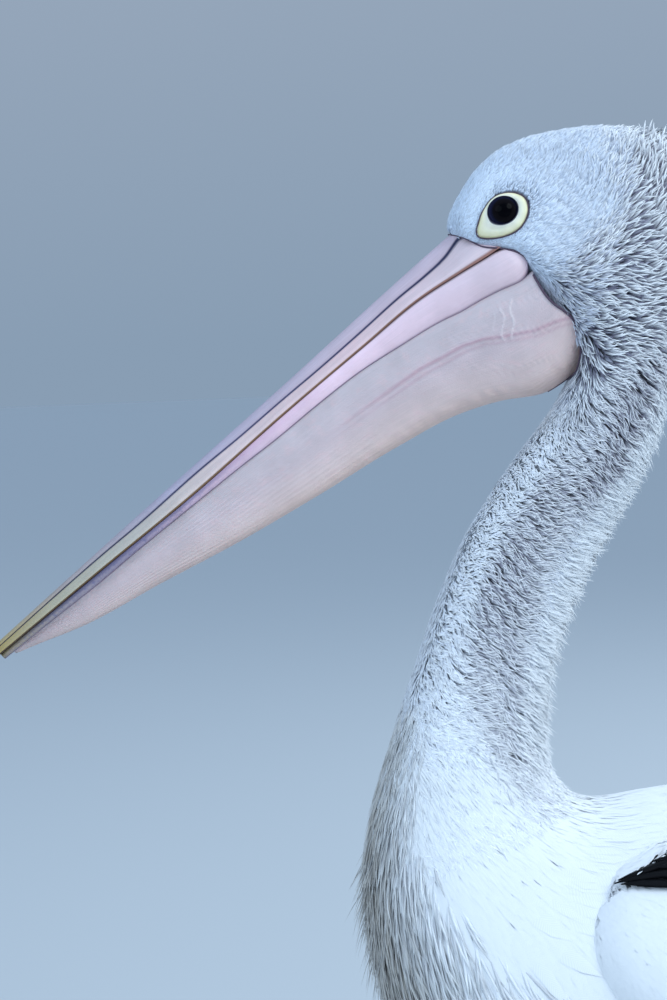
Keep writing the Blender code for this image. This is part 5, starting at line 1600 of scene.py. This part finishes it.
def closed_band(name, rings, material, marks, replaces, mirror):
    """A ring-shaped piece: its sections follow one another round and meet again in the last."""
    total, around = rings.shape[0] - 1, rings.shape[1]
    faces = [(i * around + k, i * around + (k + 1) % around, (i + 1) % total * around + (k + 1) % around,
              (i + 1) % total * around + k) for i in range(total) for k in range(around)]
    closed_piece(name, rings[:-1].reshape(-1, 3), faces, material, marks[:-1], replaces, mirror)


globe_turn = round_turns(48)
globe_share = np.linspace(0.03, 1, 26)
tilt = globe_share * math.pi * 0.72
cornea = 1 + 0.05 * np.exp(-((tilt / 0.6) ** 2))
ball = np.stack(np.broadcast_arrays(EYE_OUT + (EYE_RADIUS * cornea * np.cos(tilt))[:, None],
                                    EYE[1] + (EYE_RADIUS * np.sin(tilt))[:, None] * np.cos(globe_turn),
                                    EYE[2] + (EYE_RADIUS * np.sin(tilt))[:, None] * np.sin(globe_turn)), -1)
ball_marks = marks_for((np.sin(np.minimum(tilt, math.pi / 2)) / 0.82)[:, None].clip(0, 1), globe_turn / 6.3)
rim = np.stack([EYE[1] + outer * 0.995 * np.cos(turn), EYE[2] + outer * 0.995 * np.sin(turn)], -1)
rim_path = border_path(np.concatenate([rim, rim[:1]]), 110, 0.0006)
rim_path[-1] = rim_path[0]
rim_rings, rim_marks = cord_rings(rim_path, np.full(len(rim_path), 0.00038))
for mirror, end in SIDES:
    loft(f"ring_rim_{end}", rim_rings, line_skin, rim_marks, (), mirror)
    closed_band(f"yellow_ring_{end}", rings, lid_skin, marks, [f"eye_ring_{end}"], mirror)
    loft(f"eyeball_{end}", ball, eye_gloss, ball_marks, [f"eye_{end}"], mirror)
# ============================================================ legs and feet
# Short stout shanks with small scales, and broad feet: all four toes stand in one web, with scutes along
# each toe, a crinkled web between them and a dark claw at each end.

LEG_OUT = 0.068                 # how far out the legs stand
HEEL = (0.058, 0.138)           # Y and Z of the joint between thigh and shank
ANKLE = (0.050, 0.020)          # Y and Z of the joint over the toes
THIGH_TOP = (0.030, 0.215)
THIGH_HALF = (0.046, 0.0155)    # half its width at the top and at the heel
WEB_THICK = 0.0017
CLAW_LENGTH = 0.013
# Each toe's angle outwards from straight ahead in degrees, its length, and its radius.
TOES = (("hind", -76.0, 0.050, 0.0066), ("inner", -27.0, 0.084, 0.0072), ("middle", 3.0, 0.116, 0.0080),
        ("outer", 27.0, 0.110, 0.0072))


def thigh_at(share, turn):
    """Points on the feathered left thigh, from the top to the heel."""
    wide = THIGH_HALF[1] + (THIGH_HALF[0] - THIGH_HALF[1]) * np.clip(1 - share, 0, 1) ** 1.1
    y = THIGH_TOP[0] + (HEEL[0] - THIGH_TOP[0]) * share
    z = THIGH_TOP[1] + (HEEL[1] + 0.004 - THIGH_TOP[1]) * share
    return np.stack([LEG_OUT + wide * np.sin(turn), y + wide * 1.25 * np.cos(turn), z], -1)


def thigh_unwrap(share, turn):
    """A place on the unwrap of the thigh: its length by its girth."""
    return np.stack([0.05 + 0.9 * share, 0.5 + 0.45 * turn / math.pi], -1)


for mirror, end in SIDES:
    tufts(f"coat_thigh_{end}", ((0.05, 0.97), (-math.pi, math.pi)), 1100, by_row((0, 1), (0.034, 0.016)),
          by_row((0, 1), (0.0034, 0.0014)), 0.0004, contour_feather, surface=thigh_at, unwrap=thigh_unwrap,
          keep=None, tone=None, rib=0.12, spread=0.13, depth=0.003, mirror=mirror, seed=21, bury=4,
          soft=0.85)

scaled, tree, shader = principled("scaled_leg_skin", 0.46, specular=0.45)
scute = marks_of(tree)[2]
place = add_node(tree, "TexCoord").outputs["Object"]
cells = add_node(tree, "TexVoronoi", [("Vector", place), ("Scale", 420.0)], feature="DISTANCE_TO_EDGE")
edge = add_node(tree, "MapRange", [(0, cells.outputs["Distance"]), (1, 0.0), (2, 0.16)]).outputs[0]
colour = mix_colours(tree, edge, rgba(0.075, 0.085, 0.105), rgba(0.20, 0.225, 0.265))
colour = mix_colours(tree, times(tree, scute, 0.6), colour, rgba(0.27, 0.295, 0.33))
fine = living(tree, shader, colour, fibre=0.05, cloud=0.45, bump=None)
height = math_node(tree, "ADD", edge, times(tree, fine, 0.3))
add_bump(tree, shader, height, 0.0006, 0.8)

# The shank from the foot up: place, and half its width and its depth.
SHANK_SIZES = ((0.0, 0.0105, 0.0130), (0.12, 0.0084, 0.0108), (0.3, 0.0068, 0.0092), (0.5, 0.0064, 0.0088),
               (0.72, 0.0070, 0.0096), (0.88, 0.0098, 0.0126), (1.0, 0.0082, 0.0104))
share = np.linspace(0, 1, 60)
sizes = np.array(SHANK_SIZES)
wide, deep = (along_table(sizes[:, (0, k)], share) for k in (1, 2))
turn = round_turns(36)
front = np.exp(-((np.abs(turn - math.pi) / 0.75) ** 2))
scutes = 1 + 0.030 * front * np.abs(np.sin(share[:, None] * 62)) ** 0.6
back = (ANKLE[0] + (HEEL[0] - ANKLE[0]) * share)[:, None] + deep[:, None] * np.cos(turn) * scutes
height = (0.006 + (HEEL[1] + 0.010 - 0.006) * share)[:, None]
rings = np.stack(np.broadcast_arrays(LEG_OUT + wide[:, None] * np.sin(turn), back, height), -1)
marks = marks_for(share[:, None], turn / 6.3, front * 0.8)
for mirror, end in SIDES:
    loft(f"scaled_shank_{end}", rings, scaled, marks, [f"shank_{end}"], mirror)

rays = []
for (_, first, short, _), (_, second, long, _) in zip(TOES, TOES[1:]):
    for k in range(4):
        t = k / 4
        reach = (short + (long - short) * t) * (1 - 0.17 * math.sin(math.pi * t))
        rays.append((first + (second - first) * t, reach))
rays.append(TOES[-1][1:3])
rays = [(rays[0][0] - 16, 0.0170), (rays[0][0] - 5, rays[0][1] * 0.93), *rays,
        (rays[-1][0] + 4, rays[-1][1] * 0.94), (rays[-1][0] + 14, 0.0185), (70, 0.0140), (130, 0.0125),
        (180, 0.0125), (230, 0.0130), (267.9, 0.0170)]
angle = np.linspace(rays[0][0], rays[0][0] + 360, 301)[:-1]
reach = np.interp(angle, [r[0] for r in rays], [r[1] for r in rays])
reach = np.convolve(np.pad(reach, 2, "wrap"), (0.1, 0.2, 0.4, 0.2, 0.1), "valid")
shares = np.concatenate([np.linspace(0.04, 0.93, 34), (0.965, 0.99, 1.0)])
turn = np.radians(angle)
distance = reach[None] * shares[:, None]
place_x, place_y = np.sin(turn) * distance, -np.cos(turn) * distance
rim = np.sqrt(np.clip(1 - (np.clip((shares - 0.95) / 0.05, 0, 1)) ** 2, 0.15, 1))[:, None]
height = np.full_like(distance, WEB_THICK)
height += 0.00035 * np.sin(distance * 420 + 3 * np.sin(turn * 9)) * np.clip(distance / 0.03, 0, 1)
scute = np.zeros_like(distance)
for _, toe_angle, toe_length, toe_radius in TOES:
    way = np.array((math.sin(math.radians(toe_angle)), -math.cos(math.radians(toe_angle)))) * toe_length
    t = np.clip((place_x * way[0] + place_y * way[1]) / toe_length**2, 0, 1)
    away = np.hypot(place_x - way[0] * t, place_y - way[1] * t)
    knuckle = 1 + 0.10 * np.cos(3 * 2 * math.pi * t)
    radius = toe_radius * (1 - 0.42 * t) * knuckle
    ripple = 1 + 0.05 * np.abs(np.sin(t * toe_length * 780)) ** 0.7
    toe = radius * 0.50 + np.sqrt(np.clip(radius**2 - away**2, 0, None)) * ripple
    toe = np.where(away < radius, toe, WEB_THICK)
    scute = np.maximum(scute, np.clip(1 - away / (radius * 0.62), 0, 1))
    height = np.maximum(height, toe)
height = np.maximum(height, 0.0215 * np.exp(-((distance / 0.020) ** 2))) * rim
top = np.stack([LEG_OUT + place_x, ANKLE[0] + place_y, height], -1)
sole = np.stack([LEG_OUT + place_x, ANKLE[0] + place_y, np.zeros_like(height)], -1)
rings = np.concatenate([top, sole[::-1]])
foot_marks = marks_for(shares[:, None], angle / 360, scute)
foot_marks = np.concatenate([foot_marks, foot_marks[::-1]])
for mirror, end in SIDES:
    loft(f"webbed_foot_{end}", rings, scaled, foot_marks, [f"foot_{end}"], mirror)

claw_horn, tree, shader = principled("claw_horn", 0.34, specular=0.5, coat=0.2)
colour = ramp(tree, marks_of(tree)[0], (0.0, (0.10, 0.095, 0.09)), (1.0, (0.022, 0.020, 0.020)))
living(tree, shader, colour, fibre=0.5, cloud=0.3)
share = np.linspace(0, 1, 14)
turn = round_turns(14)
for toe, toe_angle, length, _ in TOES:
    a = math.radians(toe_angle)
    out, across = np.array((math.sin(a), -math.cos(a), 0)), np.array((math.cos(a), math.sin(a), 0))
    radius = 0.0031 * (1 - share) ** 0.7 + 0.0004
    reach = length - 0.0060 + (CLAW_LENGTH + 0.0054) * share[:, None]
    spine = np.array((LEG_OUT, ANKLE[0], 0)) + out * reach
    spine[:, 2] = np.maximum(0.0052 - 0.0045 * share**1.6, radius)
    rings = spine[:, None] + across * (radius[:, None] * np.sin(turn))[..., None]
    rings[..., 2] += radius[:, None] * np.cos(turn)
    marks = marks_for(share[:, None], turn / 6.3)
    for mirror, end in SIDES:
        loft(f"{toe}_claw_{end}", rings, claw_horn, marks, [f"claw_{toe}_{end}"], mirror)

# ============================================================ studio
# A plain pale floor and soft light from above and in front, with the bird seen from its left side.

floor = bpy.data.meshes.new("floor")
floor.from_pydata([(-30, -30, 0), (30, -30, 0), (30, 30, 0), (-30, 30, 0)], [], [(0, 1, 2, 3)])
floor_object = new_mesh_object("floor", floor)
floor_material, tree, shader = principled("floor_paint", 0.8)
shader.inputs["Base Color"].default_value = rgba(0.52, 0.55, 0.58)
floor.materials.append(floor_material)

world = bpy.data.worlds.new("studio")
bpy.context.scene.world = world
world.use_nodes = True
sky = world.node_tree
height = add_node(sky, "SeparateXYZ", [(0, add_node(sky, "TexCoord").outputs["Generated"])])
glow = ramp(sky, height.outputs["Z"], (0.0, (0.250, 0.340, 0.455)), (0.15, (0.30, 0.38, 0.49)),
            (1.0, (0.54, 0.73, 0.96)))
sky.links.new(glow, sky.nodes["Background"].inputs["Color"])
sky.nodes["Background"].inputs["Strength"].default_value = 1.0


def add_lamp(name, place, target, size, power, colour):
    lamp = bpy.data.lights.new(name, "AREA")
    lamp.shape, lamp.size, lamp.energy, lamp.color = "DISK", size, power, colour
    made = bpy.data.objects.new(name, lamp)
    bpy.context.scene.collection.objects.link(made)
    made.location = place
    made.rotation_euler = (Vector(target) - Vector(place)).to_track_quat("-Z", "Y").to_euler()


add_lamp("key_lamp", (2.5, 2.4, 2.9), (0, -0.1, 0.6), 2.6, 99, (0.84, 0.95, 1.0))
add_lamp("fill_lamp", (2.6, -2.4, 1.8), (0, 0, 0.5), 2.8, 46, (0.70, 0.87, 1.0))
add_lamp("back_lamp", (-2.2, 2.2, 2.8), (0, 0, 0.6), 2.0, 55, (0.84, 0.94, 1.0))

CAMERA_PLACE = Vector((1.5, -0.25, 0.76))
CAMERA_DOWN, CAMERA_ROLL = math.radians(4.0), math.atan(0.040)
camera = bpy.data.objects.new("camera", bpy.data.cameras.new("camera"))
bpy.context.scene.collection.objects.link(camera)
camera.data.sensor_width, camera.data.lens = 36.0, 83.09
camera.location = CAMERA_PLACE
look = Vector((-math.cos(CAMERA_DOWN), 0, -math.sin(CAMERA_DOWN)))
level, upward = Vector((0, 1, 0)), Vector((0, 1, 0)).cross(look)
tilt_c, tilt_s = math.cos(CAMERA_ROLL), math.sin(CAMERA_ROLL)
axes = (level * tilt_c - upward * tilt_s, level * tilt_s + upward * tilt_c, -look)
camera.rotation_euler = Matrix(axes).transposed().to_euler()
bpy.context.scene.camera = camera
bpy.context.scene.view_settings.view_transform = "Standard"
